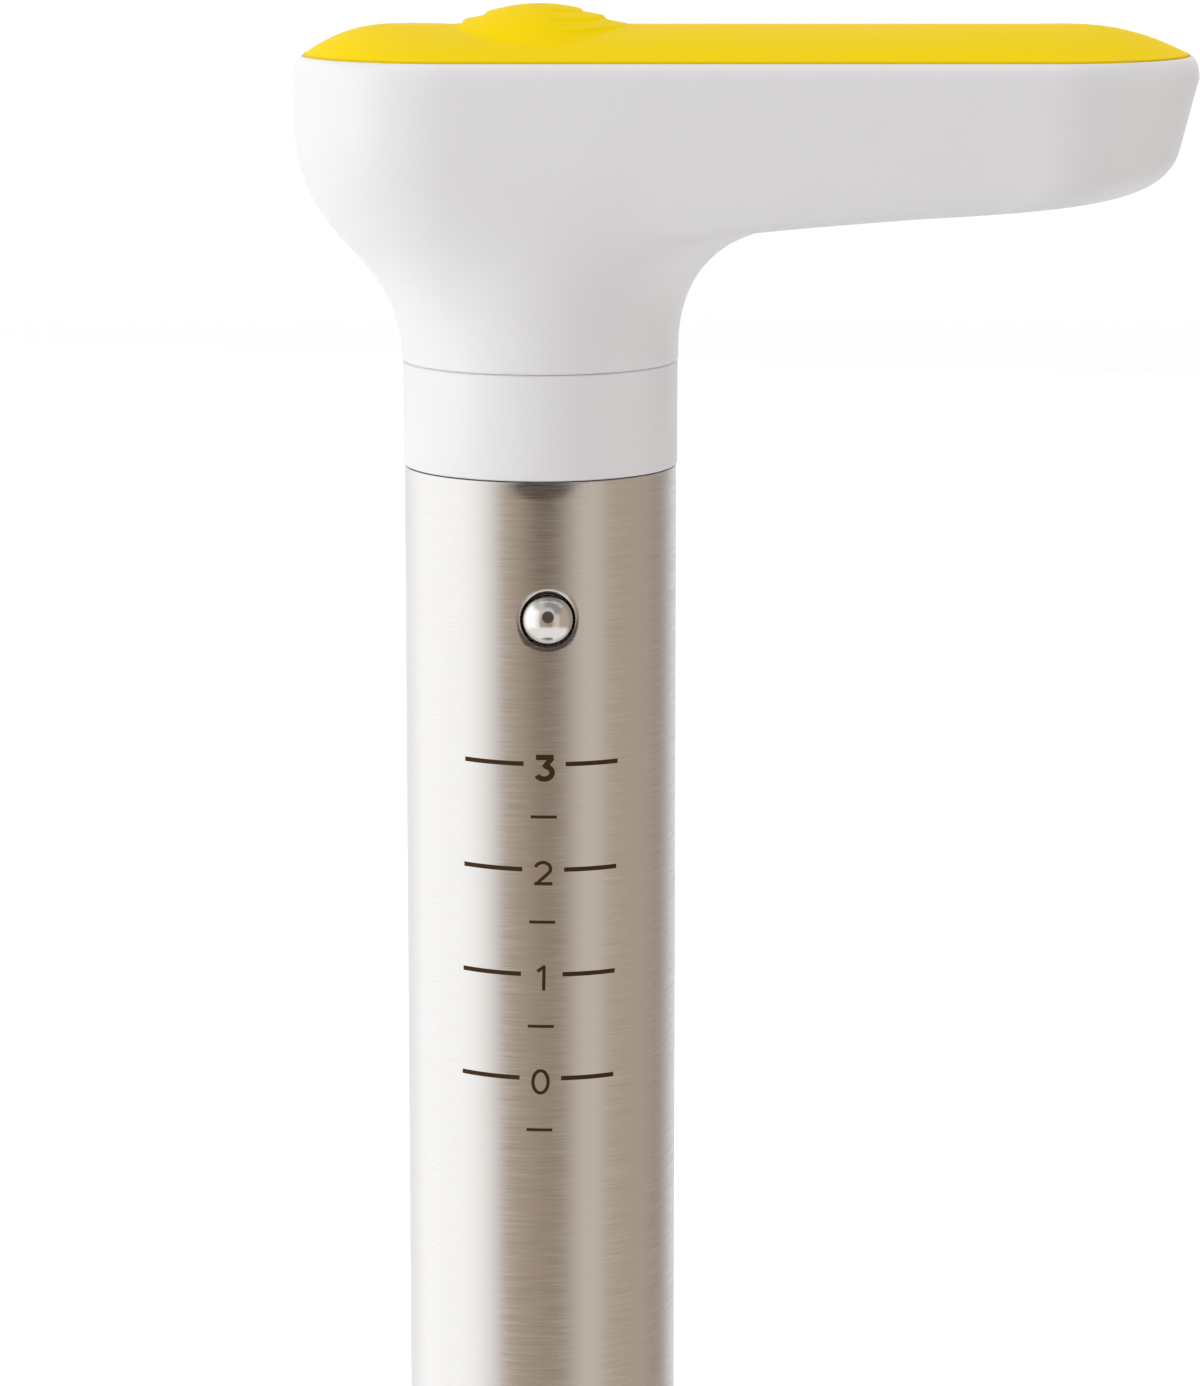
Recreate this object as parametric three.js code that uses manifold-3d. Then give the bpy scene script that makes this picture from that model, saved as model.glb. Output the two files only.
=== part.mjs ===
// Pineapple slicer: a crank handle with a ratchet, a coring tube and a one-turn spiral blade.
// Millimetres, +Z up along the tube. The origin is under the middle of the whole tool's box,
// on the surface that the tube's teeth stand on.
import * as THREE from "three";
import { mergeVertices } from "three/addons/utils/BufferGeometryUtils.js";
import Module from "manifold-3d";

const wasm = await Module();
wasm.setup();

// Fits
const clearance = 0.3; // gap between pieces that touch or slide
const overrun = 2; // how far a cutting tool runs past what it cuts

// Coring tube
const tubeRadius = 16.5;
const tubeWall = 0.6;
const tubeLength = 178.3;
const coreTeeth = 12;
const coreToothDepth = 1.8;
const shaftTurn = 3.6; // degrees that the tube and its button stand turned towards the arm

// Spiral blade and cutting ring
const ringRadius = 43.1;
const ringWall = 0.8;
const ringDepth = 11; // height of the band under the leading edge
const ringTeeth = 40;
const ringToothDepth = 1.6;
const bladeThickness = 0.8;
const slicePitch = 12.7; // slice thickness, climbed in one turn
const bladeSweep = 352; // degrees
const edgeThickness = 0.2; // sharpened leading edge
const scallopRadius = 3.2;
const scallopDepth = 1;
const scallopCount = 4;

// Release button and its spring
const buttonRadius = 3.05;
const buttonBelowTubeTop = 16.5; // from the tube's top edge down to the button's centre
const buttonProud = 2.2; // the dome's tip beyond the tube
const buttonTravel = 3;
const buttonFlangeRadius = 4.3;
const buttonFlange = 1;
const springWire = 0.5;
const springTurns = 5;

// Plug that slides into the tube, and the hub above it
const plugFit = 0.4; // radial play of the plug in the tube
const plugDepth = 35.3; // how far the plug reaches below the tube's top edge
const plugWall = 2.9;
const plugFloor = 2.4;
const plugChamfer = 1;
const plugShoulder = 2.4; // wall of the collar that stands on the tube's edge
const collarRadius = 16.65;
const collarHeight = 12.3;
const hubWeb = 3.2;
const buttonBossWall = 1.6;

// Small screws of the plug and the carrier
const screwRadius = 1.1;
const screwHeadRadius = 2.2;
const screwHead = 1.6;
const plugScrewLength = 9;
const plugScrewCircle = 10;

// Spindle, bush and ratchet
const spindleRadius = 4.5;
const spindleFlat = 3.6; // from the axis to each flat that keys the wheel
const bushWall = 1.8;
const bushFlangeRadius = 8.3;
const bushFlange = 1;
const wheelTeeth = 24;
const wheelRadius = 8;
const wheelToothDepth = 1.4;
const wheelHeight = 4.5;
const carrierRadius = 13.9;
const carrierWall = 1.4;
const carrierFloor = 1.5;
const coverPlate = 1.4;
const carrierScrewCircle = 10.6;
const carrierScrewLength = 10.5;
const pinRadius = 1;
const pawlPivotCircle = 10.4;
const pawlSpan = 42; // degrees from a pawl's tip to its pivot, about the spindle
const pawlThickness = 1.2; // pawl's width outside the wheel's teeth, at the tip
const pawlBossRadius = 1.7;
const leafThickness = 0.35;
const washerRadius = 6.5;
const washerThickness = 1;
const spindleScrewRadius = 1.6;
const spindleScrewHeadRadius = 3.2;
const spindleScrewHead = 2;
const spindleScrewLength = 10;

// Crank handle: white shell
const seamGap = 0.3; // between the collar and the neck
const neckRadius = 16.7;
const neckFloor = 4.5;
const handleDepth = 36.4; // from the neck's foot up to the rim
const halfWidth = 19;
const headReach = 29.5; // from the shaft's axis to the back of the head
const armReach = 78.9; // from the shaft's axis to the end of the arm
const shellWall = 2.4;
const armEndDepth = 15.9; // depth of the arm's end face
const undersideSlope = 0.0717; // of the arm's underside
const headDepth = 16.1; // the head's slope starts at its wall this far below the rim
const headFootDepth = 29.3; // and meets the neck here
// The wall leans in over its height and is rounded into the underside, up the wall and in from
// it. The underside is rounded again where it turns down the neck, out from it and down it.
const wallDraft = { tip: 3.1, side: 0.9, head: 0 };
const edgeRoundUp = { tip: 5.4, side: 3.6, head: 8 };
const edgeRoundIn = { tip: 9.3, side: 4.4, head: 9 };
const neckRoundOut = { tip: 18, side: 18, head: 9 };
const neckRoundDown = { tip: 14.7, side: 14.7, head: 7 };
const armShares = [0.45, 1]; // cosines from the arm's way between which the head turns into the arm
const roundsShare = 0.98; // most of a section that its two roundings may take
const lipWidth = 1.1;
const lipRound = 1.6;
const rebateDepth = 2;

// Crank handle: yellow top cover
const coverWall = 2.2;
const crownHeight = 3.65;
const crownRunHead = 10; // how far in from the rim the crown is full, at the head
const crownRunArm = 13.5; // the same at the end of the arm
const whorlHeight = 2.5;
const whorlLength = 10.8; // half its size along the arm
const whorlBreadth = 13; // half its size across
const whorlFullness = 1.2;
const whorlStart = 4.85; // radius of its step where that looks along the arm
const whorlPitch = 2.75; // how far the step opens in a turn
const whorlStep = 0.55; // breadth of the step
const whorlLag = 1.3; // how much further out the mound is as low as the step's foot
const whorlFadeShare = 1 / 3; // part of a turn before the arm where the step starts again
const whorlFadeShares = [0.09, 0.17]; // parts of a turn over which it comes back

// Facets
const tubeSides = 96;
const roundSides = 48;
const smallSides = 20;
const tinySides = 12;

// Levels that several pieces share
const collarBottom = tubeLength + clearance;
const collarTop = collarBottom + collarHeight;
const neckBottom = collarTop + seamGap;
const rimLevel = neckBottom + handleDepth;
const buttonLevel = tubeLength - buttonBelowTubeTop;
const plugBottom = tubeLength - plugDepth;
const floorTop = neckBottom + neckFloor;
const carrierBottom = floorTop + clearance;
const bushTop = carrierBottom + bushFlange;
const carrierFloorTop = bushTop + clearance + carrierFloor;
const wheelBottom = carrierFloorTop + clearance;
const wheelTop = wheelBottom + wheelHeight;
const plateBottom = wheelTop + clearance;
const plateTop = plateBottom + coverPlate;
const axisOffset = -(armReach - ringRadius) / 2; // puts the middle of the whole box on x = 0

const radians = THREE.MathUtils.degToRad;
const polar = (radius, degrees) =>
  new THREE.Vector2(radius * Math.cos(radians(degrees)), radius * Math.sin(radians(degrees)));

// A closed geometry with shared vertices, no slivers, and its faces pointing out.
function closed(geometry) {
  const bare = geometry.clone();
  bare.deleteAttribute("normal");
  bare.deleteAttribute("uv");
  const merged = mergeVertices(bare, 1e-4);
  const place = merged.getAttribute("position");
  const corners = Array.from(merged.index.array);
  const kept = [];
  const [a, b, c] = [new THREE.Vector3(), new THREE.Vector3(), new THREE.Vector3()];
  let volume = 0;
  for (let i = 0; i < corners.length; i += 3) {
    const [p, q, r] = corners.slice(i, i + 3);
    if (p === q || q === r || r === p) continue;
    kept.push([p, q, r]);
    a.fromBufferAttribute(place, p);
    b.fromBufferAttribute(place, q);
    c.fromBufferAttribute(place, r);
    volume += a.dot(b.cross(c));
  }
  merged.setIndex(kept.flatMap(([p, q, r]) => (volume < 0 ? [r, q, p] : [p, q, r])));
  return merged;
}

function toManifold(geometry) {
  const solid = closed(geometry);
  return new wasm.Manifold(
    new wasm.Mesh({
      numProp: 3,
      vertProperties: new Float32Array(solid.getAttribute("position").array),
      triVerts: new Uint32Array(solid.index.array),
    }),
  );
}

function toGeometry(manifold) {
  const mesh = manifold.getMesh();
  const place = new Float32Array(mesh.numVert * 3);
  for (let i = 0; i < mesh.numVert; i++)
    place.set(mesh.vertProperties.subarray(i * mesh.numProp, i * mesh.numProp + 3), i * 3);
  return new THREE.BufferGeometry()
    .setAttribute("position", new THREE.BufferAttribute(place, 3))
    .setIndex(new THREE.BufferAttribute(new Uint32Array(mesh.triVerts), 1));
}

function cut(body, ...tools) {
  return toGeometry(tools.reduce((left, tool) => left.subtract(toManifold(tool)), toManifold(body)));
}

function join(...bodies) {
  return toGeometry(bodies.map(toManifold).reduce((left, right) => left.add(right)));
}

// A profile of [radius, height] points turned round the Z axis. It closes on itself.
function turned(profile, sides) {
  const points = [...profile, profile[0]].map(([radius, height]) => new THREE.Vector2(radius, height));
  return closed(new THREE.LatheGeometry(points, sides).rotateX(Math.PI / 2));
}

// A round bar standing on the Z axis.
function bar(radius, bottom, top, sides = smallSides) {
  return turned([[0, bottom], [radius, bottom], [radius, top], [0, top]], sides);
}

// A washer or a tube standing on the Z axis.
function sleeve(inner, outer, bottom, top, sides = roundSides) {
  return turned([[inner, bottom], [outer, bottom], [outer, top], [inner, top]], sides);
}

function outlineOf(points) {
  return new THREE.Shape(points);
}

function plate(shape, bottom, height) {
  return new THREE.ExtrudeGeometry(shape, { depth: height, bevelEnabled: false }).translate(0, 0, bottom);
}

// Lays a piece that was made along +Z so that it points outwards at the button.
function alongButton(geometry) {
  return geometry.rotateX(Math.PI / 2).translate(0, 0, buttonLevel);
}

function at(geometry, place) {
  return geometry.clone().translate(place.x, place.y, 0);
}

// A solid between rings of points. Each ring has as many points as the next, and the
// last ring joins the first, so the rings run round the wall of a hollow piece.
function ringSolid(rings) {
  const count = rings[0].length;
  const place = rings.flat().flatMap((point) => [point.x, point.y, point.z]);
  const index = [];
  rings.forEach((ring, row) => {
    const next = (row + 1) % rings.length;
    ring.forEach((point, column) => {
      const beside = (column + 1) % count;
      const [p, q] = [row * count + column, row * count + beside];
      const [r, s] = [next * count + beside, next * count + column];
      index.push(p, q, r, p, r, s);
    });
  });
  const geometry = new THREE.BufferGeometry();
  geometry.setAttribute("position", new THREE.Float32BufferAttribute(place, 3));
  geometry.setIndex(index);
  return closed(geometry);
}

// A band that follows the spiral: a four-cornered section carried round the axis.
// corners(turn) gives the section's [radius, height] points at an angle in degrees.
function spiralBand(sweep, steps, corners) {
  const sections = Array.from({ length: steps + 1 }, (_, step) => {
    const turn = (sweep * step) / steps;
    return corners(turn, step).map(([radius, height]) => {
      const flat = polar(radius, turn);
      return new THREE.Vector3(flat.x, flat.y, height);
    });
  });
  const place = sections.flat().flatMap((point) => [point.x, point.y, point.z]);
  const index = [];
  const quad = (p, q, r, s) => index.push(p, q, r, p, r, s);
  for (let step = 0; step < steps; step++)
    for (let side = 0; side < 4; side++) {
      const beside = (side + 1) % 4;
      quad(step * 4 + side, step * 4 + beside, step * 4 + 4 + beside, step * 4 + 4 + side);
    }
  quad(3, 2, 1, 0);
  quad(steps * 4, steps * 4 + 1, steps * 4 + 2, steps * 4 + 3);
  const geometry = new THREE.BufferGeometry();
  geometry.setAttribute("position", new THREE.Float32BufferAttribute(place, 3));
  geometry.setIndex(index);
  return closed(geometry);
}

// Shaft

// Depth of the cutting edge over one tooth, from its flat land round the gullet.
const coreToothShares = [0, 0, 0, 0.6, 1, 1, 1, 0.6];

function coreTube() {
  const tube = sleeve(tubeRadius - tubeWall, tubeRadius, 0, tubeLength, tubeSides);
  const place = tube.getAttribute("position");
  const stepsPerTooth = tubeSides / coreTeeth;
  for (let i = 0; i < place.count; i++) {
    if (place.getZ(i) > coreToothDepth) continue;
    const turn = Math.atan2(place.getY(i), place.getX(i)) / (2 * Math.PI) + 1;
    const step = Math.round(turn * tubeSides) % stepsPerTooth;
    const share = coreToothShares[Math.round((step * coreToothShares.length) / stepsPerTooth)];
    place.setZ(i, coreToothDepth * share);
  }
  const hole = alongButton(bar(buttonRadius + clearance, 0, tubeRadius + overrun));
  return cut(tube, hole);
}

const spiralLevel = (turn) => ringDepth + (slicePitch * turn) / 360;
const bladeInner = tubeRadius + clearance;
const bladeOuter = ringRadius - ringWall - clearance;

function spiralBlade() {
  const steps = 60;
  const blade = spiralBand(bladeSweep, steps, (turn, step) => {
    const bottom = spiralLevel(turn);
    const top = bottom + (step === 0 ? edgeThickness : bladeThickness);
    return [[bladeInner, bottom], [bladeOuter, bottom], [bladeOuter, top], [bladeInner, top]];
  });
  const pitch = (bladeOuter - bladeInner) / (scallopCount + 1);
  const scallops = Array.from({ length: scallopCount }, (_, i) =>
    bar(scallopRadius, ringDepth - overrun, ringDepth + overrun, smallSides).translate(
      bladeInner + pitch * (i + 1),
      scallopDepth - scallopRadius,
      0,
    ),
  );
  return cut(blade, ...scallops);
}

// Depth of the ring's edge over one tooth: a tip, a gullet and a slope back.
const ringToothShares = [0, 1, 0.5];

function cuttingRing() {
  return spiralBand(bladeSweep, ringTeeth * ringToothShares.length, (turn, step) => {
    const tooth = ringToothDepth * ringToothShares[step % ringToothShares.length];
    const bottom = spiralLevel(turn) - ringDepth + tooth;
    const top = spiralLevel(turn) + bladeThickness;
    const inner = ringRadius - ringWall;
    return [[inner, bottom], [ringRadius, bottom], [ringRadius, top], [inner, top]];
  });
}

// Hub, plug and button

const plugRadius = tubeRadius - tubeWall - plugFit;
const plugBore = plugRadius - plugWall;
const plugNeckRadius = collarRadius - plugShoulder - clearance;
const webBottom = collarTop - hubWeb;
const screwHole = screwRadius + clearance;
const spindleScrewBottom = plateTop + clearance + washerThickness - spindleScrewLength;
const sides = [-1, 1];

function driveHub() {
  const spindleHole = spindleScrewRadius + clearance;
  const body = turned(
    [
      [0, webBottom],
      [collarRadius - plugShoulder, webBottom],
      [collarRadius - plugShoulder, collarBottom],
      [collarRadius, collarBottom],
      [collarRadius, collarTop],
      [spindleRadius, collarTop],
      [spindleRadius, plateTop],
      [spindleHole, plateTop],
      [spindleHole, spindleScrewBottom - clearance],
      [0, spindleScrewBottom - clearance],
    ],
    roundSides,
  );
  const flats = sides.map((side) =>
    new THREE.BoxGeometry(spindleRadius, 2 * spindleRadius + overrun, plateTop - wheelBottom + overrun)
      .translate(side * (spindleFlat + spindleRadius / 2), 0, (plateTop + wheelBottom + overrun) / 2),
  );
  const pockets = sides.flatMap((side) => {
    const place = new THREE.Vector2(side * plugScrewCircle, 0);
    const headRoom = collarTop - screwHead - clearance;
    return [
      at(bar(screwHole, webBottom - overrun, collarTop + overrun, tinySides), place),
      at(bar(screwHeadRadius + clearance, headRoom, collarTop + overrun, tinySides), place),
    ];
  });
  return cut(body, ...flats, ...pockets);
}

// Places along the button's axis, measured outwards from the tube's axis.
const buttonTip = tubeRadius + buttonProud;
const plugSeat = Math.sqrt(plugBore ** 2 - (buttonFlangeRadius + clearance) ** 2) - clearance;
const flangeFront = plugSeat - clearance;
const flangeBack = flangeFront - buttonFlange;
const pocketFloor = flangeBack - clearance - buttonTravel - 2 * springTurns * springWire;
const bossRadius = buttonFlangeRadius + clearance + buttonBossWall;

function lockingPlug() {
  const plugTop = webBottom - clearance;
  const cup = turned(
    [
      [0, plugBottom],
      [plugRadius - plugChamfer, plugBottom],
      [plugRadius, plugBottom + plugChamfer],
      [plugRadius, tubeLength - clearance],
      [plugNeckRadius, tubeLength - clearance],
      [plugNeckRadius, plugTop],
      [plugBore, plugTop],
      [plugBore, plugBottom + plugFloor],
      [0, plugBottom + plugFloor],
    ],
    roundSides,
  );
  const screwBosses = sides.map((side) =>
    at(
      bar(plugNeckRadius - plugScrewCircle - clearance, plugTop - 2 * plugScrewLength, plugTop, smallSides),
      new THREE.Vector2(side * plugScrewCircle, 0),
    ),
  );
  const bossFront = plugBore + plugWall / 2;
  const buttonBoss = alongButton(bar(bossRadius, pocketFloor - plugFloor, bossFront, roundSides));
  const screwHoles = sides.map((side) =>
    at(
      bar(screwHole, plugTop - plugScrewLength, plugTop + overrun, tinySides),
      new THREE.Vector2(side * plugScrewCircle, 0),
    ),
  );
  const pocket = alongButton(bar(buttonFlangeRadius + clearance, pocketFloor, plugSeat, smallSides));
  const bore = alongButton(bar(buttonRadius + clearance, pocketFloor, plugRadius + overrun, smallSides));
  return cut(join(cup, ...screwBosses, buttonBoss), ...screwHoles, pocket, bore);
}

function screw(radius, headRadius, headHeight, length, seat) {
  return turned(
    [
      [0, seat - length],
      [radius, seat - length],
      [radius, seat],
      [headRadius, seat],
      [headRadius, seat + headHeight],
      [0, seat + headHeight],
    ],
    tinySides,
  );
}

function plugScrew(side) {
  const seat = collarTop - screwHead;
  const length = seat - webBottom + plugScrewLength - 2 * clearance;
  const place = new THREE.Vector2(side * plugScrewCircle, 0);
  return at(screw(screwRadius, screwHeadRadius, screwHead, length, seat), place);
}

function releaseButton() {
  const domeSteps = 6;
  const dome = Array.from({ length: domeSteps + 1 }, (_, i) => {
    const rise = (Math.PI / 2) * (i / domeSteps);
    return [buttonRadius * Math.cos(rise), buttonTip - buttonRadius + buttonRadius * Math.sin(rise)];
  });
  dome[domeSteps][0] = 0;
  const profile = [
    [0, flangeBack],
    [buttonFlangeRadius, flangeBack],
    [buttonFlangeRadius, flangeFront],
    [buttonRadius, flangeFront],
    ...dome,
  ];
  return alongButton(turned(profile, smallSides));
}

class Coil extends THREE.Curve {
  constructor(radius, start, end, turns) {
    super();
    Object.assign(this, { radius, start, end, turns });
  }

  getPoint(share, target = new THREE.Vector3()) {
    const turn = 2 * Math.PI * this.turns * share;
    const height = this.start + (this.end - this.start) * share;
    return target.set(this.radius * Math.cos(turn), this.radius * Math.sin(turn), height);
  }
}

function buttonSpring() {
  const wire = springWire / 2;
  const start = pocketFloor + clearance + wire;
  const end = flangeBack - clearance - wire;
  const coil = new Coil(buttonFlangeRadius - springWire, start, end, springTurns);
  const section = outlineOf(Array.from({ length: 5 }, (_, i) => polar(wire, (360 * i) / 5)));
  const stepsPerTurn = 10;
  return alongButton(
    new THREE.ExtrudeGeometry(section, {
      steps: springTurns * stepsPerTurn,
      extrudePath: coil,
      bevelEnabled: false,
    }),
  );
}

// Ratchet, seen from above. The wheel's steep faces look anticlockwise, so a pawl
// that leans on one pushes the wheel clockwise and clicks back the other way.

const wheelRoot = wheelRadius - wheelToothDepth;
const toothAngle = 360 / wheelTeeth;
const pawlNotches = { left: 90, right: 270 }; // degrees
const pawlInnerWall = carrierRadius - carrierWall;

function ratchetWheel() {
  const teeth = Array.from({ length: wheelTeeth }, (_, i) => [
    polar(wheelRadius, i * toothAngle),
    polar(wheelRoot, i * toothAngle),
  ]).flat();
  const outline = outlineOf(teeth);
  const bore = Array.from({ length: roundSides }, (_, i) => {
    const point = polar(spindleRadius + clearance, (360 * i) / roundSides);
    point.x = THREE.MathUtils.clamp(point.x, -spindleFlat - clearance, spindleFlat + clearance);
    return point;
  });
  outline.holes.push(new THREE.Path(bore));
  return plate(outline, wheelBottom, wheelHeight);
}

function pivotOf(side) {
  return polar(pawlPivotCircle, pawlNotches[side] + pawlSpan);
}

function pawl(side) {
  const notch = pawlNotches[side];
  const gapAngle = (radius) => THREE.MathUtils.radToDeg(clearance / radius);
  const tipRadius = wheelRoot + wheelToothDepth / 6 + clearance;
  const backRadius = wheelRadius + pawlThickness;
  const pivot = pivotOf(side);
  const bossSteps = 6;
  const boss = Array.from({ length: bossSteps + 1 }, (_, i) => {
    const turn = notch + pawlSpan + 180 - (180 * i) / bossSteps;
    return pivot.clone().add(polar(pawlBossRadius, turn));
  });
  const outline = outlineOf([
    polar(tipRadius, notch + gapAngle(tipRadius)),
    polar(wheelRadius + clearance * 1.4, notch + toothAngle + gapAngle(wheelRadius)),
    ...boss,
    polar(backRadius, notch + gapAngle(backRadius)),
  ]);
  const eye = at(bar(pinRadius + clearance, wheelBottom - overrun, wheelTop + overrun, tinySides), pivot);
  return cut(plate(outline, wheelBottom, wheelHeight), eye);
}

function pawlPin(side) {
  return at(bar(pinRadius, bushTop + clearance, plateTop - clearance, tinySides), pivotOf(side));
}

// A leaf that starts against the carrier's wall and bears on the pawl's back.
function pawlSpring(side) {
  const notch = pawlNotches[side];
  const steps = 8;
  const wallRadius = pawlInnerWall - clearance;
  const backRadius = wheelRadius + pawlThickness + clearance * 2.5 + leafThickness;
  const leaf = (inset) =>
    Array.from({ length: steps + 1 }, (_, i) => {
      const share = i / steps;
      const radius = wallRadius + (backRadius - wallRadius) * share ** 2 - inset;
      return polar(radius, notch - pawlSpan * (1 - share) * 0.8 + toothAngle * 0.3);
    });
  return plate(
    outlineOf([...leaf(0), ...leaf(leafThickness).reverse()]),
    wheelBottom + clearance,
    wheelHeight - 2 * clearance,
  );
}

function carrierScrewPlaces() {
  return Object.values(pawlNotches).map((notch) => polar(carrierScrewCircle, notch - 50));
}

function pawlCarrier() {
  const cup = turned(
    [
      [bushFlangeRadius + clearance, carrierBottom],
      [carrierRadius, carrierBottom],
      [carrierRadius, wheelTop],
      [pawlInnerWall, wheelTop],
      [pawlInnerWall, carrierFloorTop],
      [spindleRadius + clearance, carrierFloorTop],
      [spindleRadius + clearance, bushTop + clearance],
      [bushFlangeRadius + clearance, bushTop + clearance],
    ],
    roundSides,
  );
  const postRadius = carrierScrewCircle - wheelRadius - clearance;
  const posts = carrierScrewPlaces().map((place) =>
    at(bar(postRadius, carrierFloorTop - carrierFloor / 2, wheelTop, smallSides), place),
  );
  const holes = carrierScrewPlaces().map((place) =>
    at(bar(screwHole, carrierBottom - overrun, wheelTop + overrun, tinySides), place),
  );
  const pinHole = bar(pinRadius + clearance, carrierBottom - overrun, carrierFloorTop + overrun, tinySides);
  const pinHoles = Object.keys(pawlNotches).map((side) => at(pinHole, pivotOf(side)));
  return cut(join(cup, ...posts), ...holes, ...pinHoles);
}

function ratchetCover() {
  const disc = sleeve(spindleRadius + clearance, carrierRadius - clearance, plateBottom, plateTop);
  const holes = carrierScrewPlaces().map((place) =>
    at(bar(screwHole, plateBottom - overrun, plateTop + overrun, tinySides), place),
  );
  const pinHole = bar(pinRadius + clearance, plateBottom - overrun, plateTop + overrun, tinySides);
  const pinHoles = Object.keys(pawlNotches).map((side) => at(pinHole, pivotOf(side)));
  return cut(disc, ...holes, ...pinHoles);
}

function carrierScrew(index) {
  const seat = plateTop + clearance;
  const place = carrierScrewPlaces()[index];
  return at(screw(screwRadius, screwHeadRadius, screwHead, carrierScrewLength, seat), place);
}

function neckBush() {
  const inner = spindleRadius + clearance;
  const outer = inner + bushWall;
  return turned(
    [
      [inner, neckBottom],
      [outer, neckBottom],
      [outer, carrierBottom],
      [bushFlangeRadius, carrierBottom],
      [bushFlangeRadius, bushTop],
      [inner, bushTop],
    ],
    roundSides,
  );
}

function spindleWasher() {
  const bottom = plateTop + clearance;
  return sleeve(spindleScrewRadius + clearance, washerRadius, bottom, bottom + washerThickness, smallSides);
}

function spindleScrew() {
  const seat = plateTop + washerThickness + 2 * clearance;
  const length = seat - spindleScrewBottom;
  return screw(spindleScrewRadius, spindleScrewHeadRadius, spindleScrewHead, length, seat);
}

// Handle

// The plan outline: a bar with half-round ends. Each column has a point on the outline,
// the outward normal there, and the direction of the neck's wall below it.
function planColumns() {
  const endSteps = 12;
  const sideSteps = 14;
  const armCentre = armReach - halfWidth;
  const headCentre = halfWidth - headReach;
  const columns = [];
  const add = (x, y, normal) => columns.push({ place: new THREE.Vector2(x, y), normal });
  const end = (centre, from) => {
    for (let i = 0; i < endSteps; i++) {
      const normal = polar(1, from + (180 * i) / endSteps);
      add(centre + halfWidth * normal.x, halfWidth * normal.y, normal);
    }
  };
  const side = (sign) => {
    const from = Math.atan2(halfWidth, armCentre);
    const to = Math.atan2(halfWidth, headCentre);
    for (let i = 0; i < sideSteps; i++) {
      const share = sign > 0 ? i / sideSteps : 1 - i / sideSteps;
      add(halfWidth / Math.tan(from + (to - from) * share), sign * halfWidth, new THREE.Vector2(0, sign));
    }
  };
  end(armCentre, -90);
  side(1);
  end(headCentre, 90);
  side(-1);
  columns.forEach((column) => (column.neck = column.place.clone().normalize()));
  return columns;
}

// A value at a column, from its values at the arm's end, along the arm and at the head.
function atColumn(column, values) {
  const arm = THREE.MathUtils.smoothstep(column.neck.x, ...armShares);
  const along = THREE.MathUtils.lerp(values.side, values.tip, Math.max(column.normal.x, 0) ** 2);
  return THREE.MathUtils.lerp(values.head, along, arm);
}

// The wall's section at a column, as points of run from the outline and depth below the rim.
// Under the arm it runs level to the neck, and under the head it slopes down to it.
function wallSection(column, inset, bottom, edgeSteps, neckSteps) {
  const start = column.place.clone().addScaledVector(column.normal, -inset);
  const foot = column.neck.clone().multiplyScalar(neckRadius - inset);
  const length = start.distanceTo(foot);
  const squareness = column.neck.dot(column.normal);
  const depthOf = (head, x) => {
    const arm = armEndDepth + undersideSlope * (armReach - x);
    return atColumn(column, { tip: arm, side: arm, head });
  };
  const edgeDepth = depthOf(headDepth, column.place.x);
  const footDepth = depthOf(headFootDepth, neckRadius * column.neck.x);
  const slope = (footDepth - edgeDepth) / length;
  const rise = inset * (Math.hypot(1, slope) - slope);
  const edgeIn = Math.max(atColumn(column, edgeRoundIn) - inset, inset) / squareness;
  const neckOut = atColumn(column, neckRoundOut) + inset;
  const fit = (1 + ((edgeIn + neckOut) / (length * roundsShare)) ** 4) ** (-1 / 4);
  const edgeUp = Math.max(atColumn(column, edgeRoundUp) - inset, inset);
  const neckDown = atColumn(column, neckRoundDown) + inset;
  const draft = atColumn(column, wallDraft) / squareness;
  const under = (run) => new THREE.Vector2(run, edgeDepth - rise + slope * run);
  const [edge, neck] = [under(draft), under(length)];
  const wallTop = new THREE.Vector2(draft * (1 - edgeUp / edge.y), edge.y - edgeUp);
  const neckEnd = new THREE.Vector2(length, neck.y + Math.min(neckDown, (bottom - neck.y) * roundsShare));
  return {
    start,
    foot,
    points: [
      ...new THREE.QuadraticBezierCurve(wallTop, edge, under(draft + edgeIn * fit)).getPoints(edgeSteps),
      ...new THREE.QuadraticBezierCurve(under(length - neckOut * fit), neck, neckEnd).getPoints(neckSteps),
      new THREE.Vector2(length, bottom),
    ],
  };
}

function sectionInSpace({ start, foot, points }) {
  const length = start.distanceTo(foot);
  return points.map((point) => {
    const flat = start.clone().lerp(foot, point.x / length);
    return new THREE.Vector3(flat.x, flat.y, rimLevel - point.y);
  });
}

// Rings for the solid from one list of points for each column.
function ringsOf(lists) {
  return lists[0].map((_, row) => lists.map((list) => list[row]));
}

const lipShares = [[1, 0], [0.45, 0.1], [0.12, 0.45], [0, 1]]; // in from the outline, down from the rim

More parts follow.
